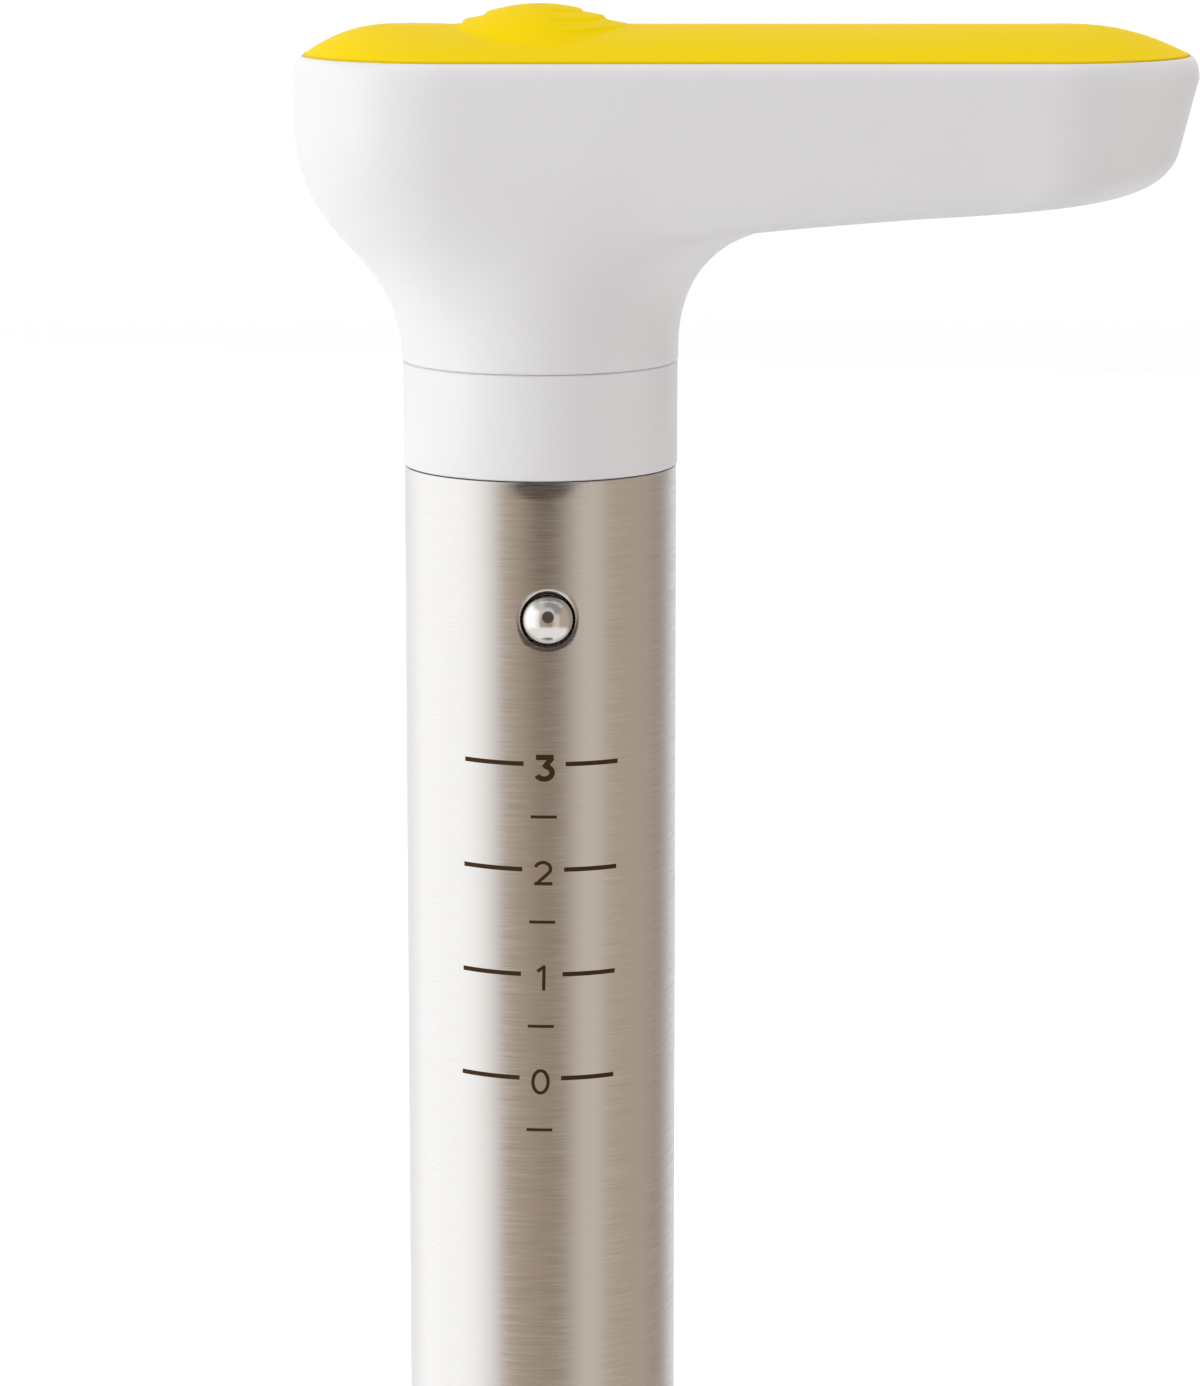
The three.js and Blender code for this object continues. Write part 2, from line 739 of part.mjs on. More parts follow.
function handleShell() {
  const bore = spindleRadius + bushWall + 2 * clearance;
  const insetPoint = (column, inset, depth) => {
    const flat = column.place.clone().addScaledVector(column.normal, -inset);
    return new THREE.Vector3(flat.x, flat.y, rimLevel - depth);
  };
  const neckPoint = (column, radius, depth) =>
    new THREE.Vector3(column.neck.x * radius, column.neck.y * radius, rimLevel - depth);
  const floorDepth = handleDepth - neckFloor;
  const lists = planColumns().map((column) => [
    ...lipShares.map(([inward, down]) => insetPoint(column, inward * lipWidth, down * lipRound)),
    ...sectionInSpace(wallSection(column, 0, handleDepth, 5, 7)),
    neckPoint(column, bore, handleDepth),
    neckPoint(column, bore, floorDepth),
    ...sectionInSpace(wallSection(column, shellWall, floorDepth, 4, 5)).reverse(),
    insetPoint(column, shellWall, rebateDepth),
    insetPoint(column, lipWidth, rebateDepth),
  ]);
  const shell = ringSolid(ringsOf(lists));
  const turn = radians(shaftTurn);
  const holes = carrierScrewPlaces().map((place) => {
    const hole = at(bar(screwHole, plateTop - carrierScrewLength, floorTop + overrun, tinySides), place);
    return hole.rotateZ(turn);
  });
  return cut(shell, ...holes);
}

const coverInset = lipWidth + clearance;

// Height of the cover's crown over the rim: it climbs from the outline along a parabola
// and is full at the spine, sooner at the two ends.
function crownAt(place) {
  const armCentre = armReach - halfWidth;
  const headCentre = halfWidth - headReach;
  const spine = new THREE.Vector2(THREE.MathUtils.clamp(place.x, headCentre, armCentre), 0);
  const away = place.clone().sub(spine);
  const breadth = halfWidth - coverInset;
  const fromEdge = Math.max(breadth - away.length(), 0);
  const endRun = place.x > 0 ? crownRunArm : crownRunHead;
  const endShare = away.length() > 0 ? (away.x / away.length()) ** 2 : 0;
  const run = THREE.MathUtils.lerp(breadth, endRun, endShare);
  return crownHeight * (1 - (1 - Math.min(fromEdge / run, 1)) ** 2);
}

function whorlRadius(direction) {
  return 1 / Math.hypot(direction.x / whorlLength, direction.y / whorlBreadth);
}

// A point of the whorl. Its mound is cut by a step that opens out like a snail's shell, and
// below the step a point has the height that the mound has further out.
function whorlPoint(column, radius, feed, shown) {
  const reach = whorlRadius(column.neck);
  const mound = (at) => (1 - Math.min(at / reach, 1) ** 2) ** whorlFullness;
  const height = THREE.MathUtils.lerp(mound(radius), mound(feed), shown);
  const flat = column.neck.clone().multiplyScalar(radius);
  return new THREE.Vector3(flat.x, flat.y, rimLevel + crownAt(flat) + whorlHeight * height);
}

// The whorl's rings at a column: the dome, then each turn of the step, its edge and its foot.
// The step fades out at the front of the head, where its radius starts again.
function whorlPoints(column) {
  const around = Math.atan2(column.neck.y, column.neck.x) / (2 * Math.PI) + 1 + whorlFadeShare;
  const turn = (around % 1) - whorlFadeShare;
  const fromFade = Math.min(turn + whorlFadeShare, 1 - whorlFadeShare - turn);
  const shown = THREE.MathUtils.smoothstep(fromFade, ...whorlFadeShares);
  const edges = [0, 1].map((times) => whorlStart + whorlPitch * (turn + times));
  return [
    whorlPoint(column, edges[0] / 2, edges[0] / 2, 0),
    ...edges.flatMap((edge) => [
      whorlPoint(column, edge, edge, shown),
      whorlPoint(column, edge + whorlStep, edge + whorlLag, shown),
    ]),
  ];
}

function topCover() {
  const edge = (column, inset, height) => {
    const flat = column.place.clone().addScaledVector(column.normal, -inset);
    return new THREE.Vector3(flat.x, flat.y, height);
  };
  const crownPoint = (column, share, drop) => {
    const from = column.neck.clone().multiplyScalar(whorlRadius(column.neck));
    const to = column.place.clone().addScaledVector(column.normal, -coverInset);
    const flat = from.lerp(to, share);
    return new THREE.Vector3(flat.x, flat.y, rimLevel + crownAt(flat) - drop);
  };
  const skirtBottom = rimLevel - rebateDepth + clearance;
  const middle = (height) => new THREE.Vector3(0, 0, height);
  const crownMiddle = rimLevel + crownHeight;
  const innerEdge = coverInset + coverWall;
  const lists = planColumns().map((column) => [
    middle(crownMiddle + whorlHeight),
    ...whorlPoints(column),
    ...[0, 0.35, 0.6, 0.76, 0.88, 0.96].map((share) => crownPoint(column, share, 0)),
    edge(column, coverInset, rimLevel),
    edge(column, coverInset, skirtBottom),
    edge(column, innerEdge, skirtBottom),
    edge(column, innerEdge, skirtBottom + clearance),
    ...[0.6, 0].map((share) => crownPoint(column, share, coverWall)),
    middle(crownMiddle - coverWall),
  ]);
  return discSolid(ringsOf(lists));
}

// A solid between rings whose first and last ring are each one point.
function discSolid(rings) {
  const count = rings[0].length;
  const place = rings.flat().flatMap((point) => [point.x, point.y, point.z]);
  const index = [];
  for (let row = 0; row + 1 < rings.length; row++)
    for (let column = 0; column < count; column++) {
      const beside = (column + 1) % count;
      const [p, q] = [row * count + column, row * count + beside];
      index.push(p, q, q + count, p, q + count, p + count);
    }
  const geometry = new THREE.BufferGeometry();
  geometry.setAttribute("position", new THREE.Float32BufferAttribute(place, 3));
  geometry.setIndex(index);
  return closed(geometry);
}

// Assembly

function finish(color, roughness, metalness) {
  return new THREE.MeshStandardMaterial({ color, roughness, metalness });
}

const steel = finish(0xb9b3aa, 0.32, 1);
const bladeSteel = finish(0xc4c2be, 0.25, 1);
const chrome = finish(0xd8d8d6, 0.08, 1);
const whitePlastic = finish(0xeceaea, 0.4, 0);
const yellowGrip = finish(0xf5d600, 0.6, 0);
const innerPlastic = finish(0xd9d9d6, 0.5, 0);
const bearingPlastic = finish(0x35373a, 0.5, 0);
const zincSteel = finish(0xa7a9ab, 0.4, 1);

const slicer = new THREE.Group();
slicer.position.x = axisOffset;
const shaftAndWorks = new THREE.Group();
shaftAndWorks.rotation.z = radians(shaftTurn);
const crank = new THREE.Group();
slicer.add(shaftAndWorks, crank);

function piece(name, geometry, material, group = shaftAndWorks) {
  const mesh = new THREE.Mesh(closed(geometry), material);
  mesh.geometry.computeVertexNormals();
  mesh.name = name;
  group.add(mesh);
}

const blades = new THREE.Group();
blades.rotation.z = -radians(shaftTurn); // the blade's leading edge lies under the arm
shaftAndWorks.add(blades);

piece("core_tube", coreTube(), steel);
piece("spiral_blade", spiralBlade(), bladeSteel, blades);
piece("cutting_ring", cuttingRing(), bladeSteel, blades);

piece("drive_hub", driveHub(), whitePlastic);
piece("locking_plug", lockingPlug(), innerPlastic);
piece("plug_screw_left", plugScrew(-1), zincSteel);
piece("plug_screw_right", plugScrew(1), zincSteel);
piece("button_spring", buttonSpring(), zincSteel);
piece("ratchet_wheel", ratchetWheel(), bearingPlastic);
piece("spindle_washer", spindleWasher(), zincSteel);
piece("spindle_screw", spindleScrew(), zincSteel);
piece("release_button", releaseButton(), chrome);

piece("neck_bush", neckBush(), bearingPlastic);
piece("pawl_carrier", pawlCarrier(), innerPlastic);
piece("ratchet_cover", ratchetCover(), zincSteel);
piece("carrier_screw_left", carrierScrew(0), zincSteel);
piece("carrier_screw_right", carrierScrew(1), zincSteel);
for (const side of Object.keys(pawlNotches)) {
  piece("pawl_" + side, pawl(side), bearingPlastic);
  piece("pawl_pin_" + side, pawlPin(side), zincSteel);
  piece("pawl_spring_" + side, pawlSpring(side), zincSteel);
}

piece("handle_shell", handleShell(), whitePlastic, crank);
piece("top_cover", topCover(), yellowGrip, crank);

export default slicer;
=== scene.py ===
import math

import bmesh
import bpy
import numpy as np
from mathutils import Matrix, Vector


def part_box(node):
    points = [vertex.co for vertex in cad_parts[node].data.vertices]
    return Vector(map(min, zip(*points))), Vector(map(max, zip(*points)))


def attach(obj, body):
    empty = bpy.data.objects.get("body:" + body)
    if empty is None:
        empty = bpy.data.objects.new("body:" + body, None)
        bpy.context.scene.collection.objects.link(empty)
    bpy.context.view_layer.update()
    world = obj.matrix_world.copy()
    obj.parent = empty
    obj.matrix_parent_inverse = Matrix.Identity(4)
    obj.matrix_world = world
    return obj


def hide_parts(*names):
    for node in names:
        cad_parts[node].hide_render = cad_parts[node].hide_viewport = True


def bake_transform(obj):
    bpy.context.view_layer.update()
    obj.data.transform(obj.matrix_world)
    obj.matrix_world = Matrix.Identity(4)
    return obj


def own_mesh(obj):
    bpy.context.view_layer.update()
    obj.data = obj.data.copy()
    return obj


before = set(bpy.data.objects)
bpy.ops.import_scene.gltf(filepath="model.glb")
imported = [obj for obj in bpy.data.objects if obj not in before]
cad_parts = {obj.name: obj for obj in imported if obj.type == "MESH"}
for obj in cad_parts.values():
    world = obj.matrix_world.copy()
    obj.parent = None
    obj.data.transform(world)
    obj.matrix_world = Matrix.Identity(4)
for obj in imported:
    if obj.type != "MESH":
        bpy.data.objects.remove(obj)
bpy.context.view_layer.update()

unit = 0.001  # the object's sizes below are in millimetres; the stage, lamps and camera in metres


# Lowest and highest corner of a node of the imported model.
def boxOf(node):
    low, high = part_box(node)
    return np.array(low) / unit, np.array(high) / unit


tubeLow, tubeHigh = boxOf("core_tube")
shellLow, shellHigh = boxOf("handle_shell")
layout = {
    "axisX": (tubeLow[0] + tubeHigh[0]) / 2,
    "shaftTurn": 3.6,  # degrees that the tube and its button stand turned towards the arm
    "tubeRadius": (tubeHigh[1] - tubeLow[1]) / 2,
    "tubeTop": tubeHigh[2],
    "neckFoot": shellLow[2],
    "rim": shellHigh[2],
    "buttonLevel": (boxOf("release_button")[0][2] + boxOf("release_button")[1][2]) / 2,
    "gap": 0.3,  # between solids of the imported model
}
tiny = 1e-9  # a length or a difference that counts as none
joinReach = 1e-6  # metres within which points coincide
leastEdge = 1e-7  # metres
softShare = 0.3  # a small edge bends at a point this share of its size from both of its faces
frontTurn = 270  # degrees round the axis at which the front is
print("layout", {name: round(float(value), 3) for name, value in layout.items()})


# Mesh tools

def smoothStep(x, low, high):
    t = np.clip((x - low) / (high - low), 0, 1)
    return t * t * (3 - 2 * t)


# Directions (cosine, sine) for angles in degrees.
def directions(degrees):
    turn = np.radians(degrees)
    return np.stack([np.cos(turn), np.sin(turn)], -1)


# Points from their flat places and their heights.
def withHeight(flat, height):
    return np.concatenate([flat, height[..., None]], -1)


# Quads between neighbouring points of a grid. Each row closes on itself, and with closeRows the
# last row joins the first.
def gridFaces(rows, columns, closeRows=False):
    row = np.arange(rows if closeRows else rows - 1)[:, None]
    column = np.arange(columns)[None, :]
    below, beside = (row + 1) % rows, (column + 1) % columns
    corners = [(row, column), (row, beside), (below, beside), (below, column)]
    corners = np.broadcast_arrays(*(i * columns + j for i, j in corners))
    return np.stack(corners, -1).reshape(-1, 4)


# Quadratic curves: at share t each lies at (1-t)^2 start + 2t(1-t) corner + t^2 end.
def roundCorner(start, corner, end, steps):
    t = np.linspace(0, 1, steps + 1)[:, None]
    start, corner, end = (np.asarray(p, float)[..., None, :] for p in (start, corner, end))
    return (1 - t) ** 2 * start + 2 * t * (1 - t) * corner + t**2 * end


# A closed profile of [radius, height] corners, each cut back by its own radius, or by just under
# half of a side that is too short for it, and rounded.
def softProfile(corners, radii, steps=4):
    corners = np.array(corners, float)
    towards = np.roll(corners, 1, 0) - corners
    onwards = np.roll(corners, -1, 0) - corners
    radii = np.broadcast_to(np.asarray(radii, float), len(corners))[:, None]
    length = lambda way: np.linalg.norm(way, axis=1, keepdims=True)
    cutBack = lambda way: corners + way * np.minimum(radii / length(way), 0.49)
    return roundCorner(cutBack(towards), corners, cutBack(onwards), steps).reshape(-1, 2)


# A profile turned round the Z axis: point = (radius cos a, radius sin a, height).
def turned(profile, sides):
    profile = profile[:, None]
    flat = profile[..., :1] * directions(np.arange(sides) * 360 / sides)
    height = np.broadcast_to(profile[..., 1], flat.shape[:2])
    return withHeight(flat, height), gridFaces(len(profile), sides, closeRows=True)


# Sections carried along a path, closed at both ends by a fan to each end's middle.
def swept(sections):
    first, last = sections[:1].mean(1, keepdims=True), sections[-1:].mean(1, keepdims=True)
    fan = np.ones((1, sections.shape[1], 1))
    points = np.concatenate([first * fan, sections, last * fan])
    return points, gridFaces(len(points), points.shape[1])


# Pieces are made round the Z axis; onCrank moves them to the shaft's axis, and onShaft turns them
# with the tube as well.
def onCrank(points):
    return points + np.array([layout["axisX"], 0, 0])


def onShaft(points):
    turn = math.radians(layout["shaftTurn"])
    cosine, sine = math.cos(turn), math.sin(turn)
    return onCrank(points @ np.array([[cosine, sine, 0], [-sine, cosine, 0], [0, 0, 1]]))


# A piece made along +Z is laid to point at the front, at the button's height.
def alongButton(points):
    return onShaft(points[..., [0, 2, 1]] * [1, -1, 1] + [0, 0, layout["buttonLevel"]])


def quadMesh(name, points, faces):
    mesh = bpy.data.meshes.new(name)
    points = np.asarray(points, float).reshape(-1, 3) * unit
    mesh.vertices.add(len(points))
    mesh.vertices.foreach_set("co", points.ravel())
    mesh.loops.add(faces.size)
    mesh.loops.foreach_set("vertex_index", faces.ravel())
    mesh.polygons.add(len(faces))
    mesh.polygons.foreach_set("loop_start", np.arange(0, faces.size, faces.shape[1]))
    mesh.update(calc_edges=True)
    return mesh


# Joins points that coincide, turns the faces outwards and marks the edges that stay sharp, which
# turn by more than the given degrees.
def cleanMesh(mesh, sharpAngle, recalculate=True):
    tidy = bmesh.new()
    tidy.from_mesh(mesh)
    bmesh.ops.remove_doubles(tidy, verts=tidy.verts, dist=joinReach)
    bmesh.ops.dissolve_degenerate(tidy, edges=tidy.edges, dist=leastEdge)
    if recalculate:
        bmesh.ops.recalc_face_normals(tidy, faces=tidy.faces)
    tidy.to_mesh(mesh)
    tidy.free()
    mesh.shade_smooth()
    mesh.set_sharp_from_angle(angle=math.radians(sharpAngle))


def addObject(name, data):
    item = bpy.data.objects.new(name, data)
    bpy.context.scene.collection.objects.link(item)
    return item


# A piece is named as its mesh is. One without a body is left unattached.
def addPiece(mesh, body, material, nodes=()):
    piece = addObject(mesh.name, mesh)
    mesh.materials.clear()
    mesh.materials.append(materials[material])
    if body:
        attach(piece, body)
    if nodes:
        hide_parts(*nodes)
    return piece


# Materials

def newMaterial(name):
    material = bpy.data.materials.new(name)
    material.use_nodes = True
    shader = material.node_tree.nodes["Principled BSDF"]
    return material, material.node_tree, shader


# Each source is a value or a node's output.
def feed(tree, node, sources):
    for socket, source in sources.items():
        if isinstance(source, bpy.types.NodeSocket):
            tree.links.new(source, node.inputs[socket])
        else:
            node.inputs[socket].default_value = source


def addNode(tree, kind, sources=None, **settings):
    node = tree.nodes.new(kind)
    for name, value in settings.items():
        setattr(node, name, value)
    feed(tree, node, sources or {})
    return node


def ownPlace(tree):
    return addNode(tree, "ShaderNodeTexCoord").outputs["Object"]


def mapRange(tree, value, low, high, toLow=0.0, toHigh=1.0, **settings):
    sources = {"Value": value, "From Min": low, "From Max": high}
    sources |= {"To Min": toLow, "To Max": toHigh}
    return addNode(tree, "ShaderNodeMapRange", sources, **settings).outputs["Result"]


def combine(tree, operation, *values, kind="ShaderNodeMath"):
    return addNode(tree, kind, dict(enumerate(values)), operation=operation)


# Noise on the object's own coordinates; spots gives how many fit in a metre each way.
def grain(tree, spots, detail=3.0, roughness=0.55):
    sources = {"Vector": ownPlace(tree), "Scale": spots}
    scaled = addNode(tree, "ShaderNodeMapping", sources).outputs[0]
    sources = {"Vector": scaled, "Scale": 1.0, "Detail": detail, "Roughness": roughness}
    return addNode(tree, "ShaderNodeTexNoise", sources).outputs["Fac"]


# Goes from the first colour to the second with the share.
def mixColours(tree, share, first, second):
    opaque = lambda colour: (*colour, 1) if isinstance(colour, tuple) else colour
    sources = {0: share, 6: opaque(first), 7: opaque(second)}
    return addNode(tree, "ShaderNodeMix", sources, data_type="RGBA").outputs[2]


# The look's bump gives the strength of the relief and its depth in millimetres.
def setBump(tree, shader, height, look):
    strength, depth = look["bump"]
    sources = {"Height": height, "Strength": strength, "Distance": depth * unit}
    feed(tree, shader, {"Normal": addNode(tree, "ShaderNodeBump", sources).outputs[0]})


noiseRange = (0.3, 0.7)  # where most of a noise lies


# The colour drifts between the look's two as the noise rises, and so does the roughness.
def setDrift(tree, shader, noise, look):
    colour = mixColours(tree, noise, look["colour"], look["shade"])
    roughness = mapRange(tree, noise, *noiseRange, *look["roughness"])
    feed(tree, shader, {"Base Color": colour, "Roughness": roughness})


mouldedLook = {
    # clouds and grain: spots in a metre of the slow drift and of the surface's texture
    "whitePlastic": {"colour": (0.8, 0.792, 0.794), "shade": (0.83, 0.822, 0.824), "clouds": 60,
                     "roughness": (0.34, 0.42), "grain": 2600, "bump": (0.05, 0.05)},
    "innerPlastic": {"colour": (0.62, 0.62, 0.60), "shade": (0.66, 0.66, 0.64), "clouds": 60,
                     "roughness": (0.4, 0.5), "grain": 1800, "bump": (0.08, 0.05)},
    "bearingPlastic": {"colour": (0.035, 0.036, 0.04), "shade": (0.05, 0.05, 0.055), "clouds": 60,
                       "roughness": (0.35, 0.5), "grain": 1500, "bump": (0.08, 0.05)},
}


# Moulded plastic: a fine even grain in the surface and a slow drift of tone and gloss.
def mouldedPlastic(name, look):
    material, tree, shader = newMaterial(name)
    setDrift(tree, shader, grain(tree, (look["clouds"],) * 3, detail=2), look)
    setBump(tree, shader, grain(tree, (look["grain"],) * 3), look)
    return material, tree, shader


gripLook = {
    "colour": (0.985, 0.7, 0.0),
    "shade": (1.0, 0.725, 0.0),
    # edge: painted shade, a darker orange standing in for the seam's shadow along the cover's
    # edge; the heights below give where this painted shade fades out
    "edge": (0.7, 0.48, 0.0),
    "seamShadeHeights": (0.08, 0.34),  # over the shell's rim, between which the edge's colour fades
    "clouds": 45,
    "roughness": (0.52, 0.64),
    "gloss": 0.05,
    "sheen": 0.04,
    "sheenRoughness": 0.35,
    "grain": 4200,
    "bump": (0.12, 0.04),
}


# Soft-touch coating: finer and duller than the shell, with a little sheen. A thin line along its
# edge is painted a darker orange: painted shade that stands in for the shadow of the seam next to
# the lip.
def softTouch():
    look = gripLook
    material, tree, shader = mouldedPlastic("yellowGrip", look)
    height = addNode(tree, "ShaderNodeSeparateXYZ", {0: ownPlace(tree)}).outputs["Z"]
    low, high = ((layout["rim"] + above) * unit for above in look["seamShadeHeights"])
    drift = shader.inputs["Base Color"].links[0].from_socket
    # painted shade: near the rim the base colour goes over to the darker seam colour
    colour = mixColours(tree, mapRange(tree, height, low, high), look["edge"], drift)
    feed(tree, shader, {
        "Base Color": colour,
        "Specular IOR Level": look["gloss"],
        "Sheen Weight": look["sheen"],
        "Sheen Roughness": look["sheenRoughness"],
    })
    return material


metalLook = {
    # grain: spots in a metre across the axis and along it; lay: how much the brushing draws out
    # a reflection
    "tubeSteel": {"colour": (0.61, 0.60, 0.59), "shade": (0.81, 0.80, 0.79), "lay": 0.55,
                  "roughness": (0.14, 0.32), "grain": (170, 170, 4800), "bump": (0.15, 0.02)},
    "bladeSteel": {"colour": (0.64, 0.63, 0.61), "shade": (0.71, 0.70, 0.68), "lay": 0.0,
                   "roughness": (0.16, 0.26), "grain": (160, 160, 900), "bump": (0.05, 0.02)},
    "buttonChrome": {"colour": (0.74, 0.73, 0.72), "shade": (0.78, 0.77, 0.76), "lay": 0.0,
                     "roughness": (0.05, 0.09), "grain": (300, 300, 300), "bump": (0.02, 0.02)},
    "zincSteel": {"colour": (0.5, 0.5, 0.51), "shade": (0.6, 0.6, 0.61), "lay": 0.0,
                  "roughness": (0.28, 0.42), "grain": (900, 900, 900), "bump": (0.06, 0.02)},
}


# Metal with a grain: noise drawn out along the brushing shifts tone, gloss and height together.
def brushedMetal(name, look):
    material, tree, shader = newMaterial(name)
    fine = grain(tree, look["grain"], detail=4, roughness=0.65)
    setDrift(tree, shader, fine, look)
    setBump(tree, shader, fine, look)
    feed(tree, shader, {"Metallic": 1, "Anisotropic": look["lay"]})
    if look["lay"]:
        lay = addNode(tree, "ShaderNodeTangent", direction_type="RADIAL", axis="Z")
        feed(tree, shader, {"Tangent": lay.outputs[0]})
    return material


etchLook = {
    "colour": (0.034, 0.016, 0.005),
    "shade": (0.06, 0.032, 0.013),
    "roughness": (0.5, 0.65),
    "gloss": 0.12,
    "grain": (1500, 1500, 3000),
}


# Marks burnt into the steel: dull brown oxide, a little patchy.
def etchedOxide():
    material, tree, shader = newMaterial("etchedOxide")
    setDrift(tree, shader, grain(tree, etchLook["grain"], detail=4), etchLook)
    feed(tree, shader, {"Specular IOR Level": etchLook["gloss"]})
    return material


# The record's slot that each material stands for.
materials = {name: mouldedPlastic(name, look)[0] for name, look in mouldedLook.items()}
materials |= {name: brushedMetal(name, look) for name, look in metalLook.items()}
materials |= {"yellowGrip": softTouch(), "etchedOxide": etchedOxide()}
print("materials", len(materials))


# Handle

handleLook = {
    "wall": 2.4,
    "lipWidth": 1.1,
    "lipRound": 2.6,  # how far down the wall the lip's rounding goes
    "rebate": 2.0,  # depth of the cover's seat below the rim
    "armEndDepth": 15.9,
    "undersideSlope": 0.0717,  # how fast the arm deepens from its end
    "headDepth": 16.1,  # the head's slope starts at its wall this far below the rim
    "headFootDepth": 29.3,  # and meets the neck here
    # values at the arm's end, along the arm and at the head
    "draft": (3.1, 0.9, 0.0),
    "edgeUp": (5.4, 3.6, 8.0),  # rounding of the wall into the underside, up the wall
    "edgeIn": (9.3, 4.4, 9.0),  # and in from it
    "neckOut": (18.0, 18.0, 9.0),  # rounding of the underside into the neck, out from the neck
    "neckDown": (14.7, 14.7, 7.0),  # and down it
    "armBlend": (0.45, 1.0),  # cosines from the arm between which the head's values become its own
    "rounds": 0.98,  # most of a section that its two roundings may take
    "neckRadius": 16.7,
    "neckFloor": 4.5,
    "bore": 6.9,
    "footRound": 0.25,
    "seamClosed": 0.13,  # how much of the gap under the neck the shell's foot fills
}
# Columns at each end and along each side, and rows of the lip and of the wall's two roundings.
handleMesh = {"endSteps": 72, "sideSteps": 84, "lipSteps": 6, "edgeSteps": 18, "neckSteps": 24}
halfWidth = (shellHigh[1] - shellLow[1]) / 2
armReach = shellHigh[0] - layout["axisX"]
headReach = layout["axisX"] - shellLow[0]
armCentre, headCentre = armReach - halfWidth, halfWidth - headReach


# The plan outline is a bar with half-round ends. Each column has its point on the outline, the
# outward normal there, and the direction from the shaft's axis, which the neck's wall follows.
def planColumns():
    ends, sides = handleMesh["endSteps"], handleMesh["sideSteps"]
    armWay = directions(-90 + 180 * np.arange(ends) / ends)
    headWay = directions(90 + 180 * np.arange(ends) / ends)
    low, high = math.atan2(halfWidth, armCentre), math.atan2(halfWidth, headCentre)
    along = halfWidth / np.tan(low + (high - low) * np.arange(sides) / sides)
    back = halfWidth / np.tan(high + (low - high) * np.arange(sides) / sides)
    straight = lambda x, side: np.stack([x, np.full(sides, side * halfWidth)], -1)
    armEnd = [armCentre, 0] + halfWidth * armWay
    headEnd = [headCentre, 0] + halfWidth * headWay
    place = np.concatenate([armEnd, straight(along, 1), headEnd, straight(back, -1)])
    flat = lambda side: np.tile([0.0, side], (sides, 1))
    normal = np.concatenate([armWay, flat(1), headWay, flat(-1)])
    return place, normal, place / np.linalg.norm(place, axis=1, keepdims=True)


outlinePlace, outlineNormal, outlineNeck = planColumns()


# A value at each column, from its values at the arm's end, along the arm and at the head.
def atColumns(values):
    tip, side, head = values
    arm = smoothStep(outlineNeck[:, 0], *handleLook["armBlend"])
    along = side + (tip - side) * np.maximum(outlineNormal[:, 0], 0) ** 2
    return head + (along - head) * arm


# One section of the wall for each column, in run from the outline and depth below the rim. A line
# runs from the wall to the neck, nearly level under the arm and steep under the head, and a
# quadratic curve rounds each of its ends. Where the line is short both curves are scaled to fit,
# by (1 + (their sum / line)^4)^(-1/4).
def wallSection(inset, bottom):
    look = handleLook
    start = outlinePlace - outlineNormal * inset
    foot = outlineNeck * (look["neckRadius"] - inset)
    length = np.linalg.norm(start - foot, axis=1)
    squareness = (outlineNeck * outlineNormal).sum(1)
    armDepth = lambda x: look["armEndDepth"] + look["undersideSlope"] * (armReach - x)
    underArm = armDepth(outlinePlace[:, 0])
    underNeck = armDepth(outlineNeck[:, 0] * look["neckRadius"])
    edgeDepth = atColumns((underArm, underArm, look["headDepth"]))
    footDepth = atColumns((underNeck, underNeck, look["headFootDepth"]))
    slope = (footDepth - edgeDepth) / length
    edgeDepth = edgeDepth - inset * (np.hypot(1, slope) - slope)
    edgeIn = np.maximum(atColumns(look["edgeIn"]) - inset, inset) / squareness
    neckOut = atColumns(look["neckOut"]) + inset
    fit = (1 + ((edgeIn + neckOut) / (length * look["rounds"])) ** 4) ** -0.25
    edgeUp = np.maximum(atColumns(look["edgeUp"]) - inset, inset)
    draft = atColumns(look["draft"]) / squareness
    under = lambda run: np.stack([run, edgeDepth + slope * run], -1)
    edge, neck = under(draft), under(length)
    wallTop = np.stack([draft * (1 - edgeUp / edge[:, 1]), edge[:, 1] - edgeUp], -1)
    down = np.minimum(atColumns(look["neckDown"]) + inset, (bottom - neck[:, 1]) * look["rounds"])
    neckEnd = np.stack([length, neck[:, 1] + down], -1)
    section = np.concatenate(
        [
            roundCorner(wallTop, edge, under(draft + edgeIn * fit), handleMesh["edgeSteps"]),
            roundCorner(under(length - neckOut * fit), neck, neckEnd, handleMesh["neckSteps"]),
        ],
        1,
    )
    flat = start[:, None] + (foot - start)[:, None] * (section[..., :1] / length[:, None, None])
    return np.concatenate([flat, layout["rim"] - section[..., 1:]], -1)


# Points of every column at an inset from the outline and a depth below the rim.
def atInset(inset, depth):
    flat = outlinePlace - outlineNormal * inset
    return withHeight(flat, np.full(len(flat), layout["rim"] - depth))[:, None]


# Rows of every column round a quarter of an ellipse, from the rim out to the inset and down.
def quarterRound(inset, width, depth, steps):
    turn = np.linspace(0, math.pi / 2, steps + 1)
    across, down = inset + width * (1 - np.sin(turn)), depth * (1 - np.cos(turn))
    return np.concatenate([atInset(*place) for place in zip(across, down)], 1)


# Points of every column on a circle round the shaft's axis.
def atNeck(radius, height):
    return withHeight(outlineNeck * radius, np.full(len(outlineNeck), height))[:, None]


# Rows of a wall between two rows of points, at shares of the way.
def between(first, last, shares):
    return first + (last - first) * np.asarray(shares, float)[None, :, None]


# A closed piece from points whose first axis is the column and whose second is the row.
def columnMesh(name, points, closeRows):
    rows = onCrank(points).transpose(1, 0, 2)
    return quadMesh(name, rows, gridFaces(*rows.shape[:2], closeRows=closeRows))


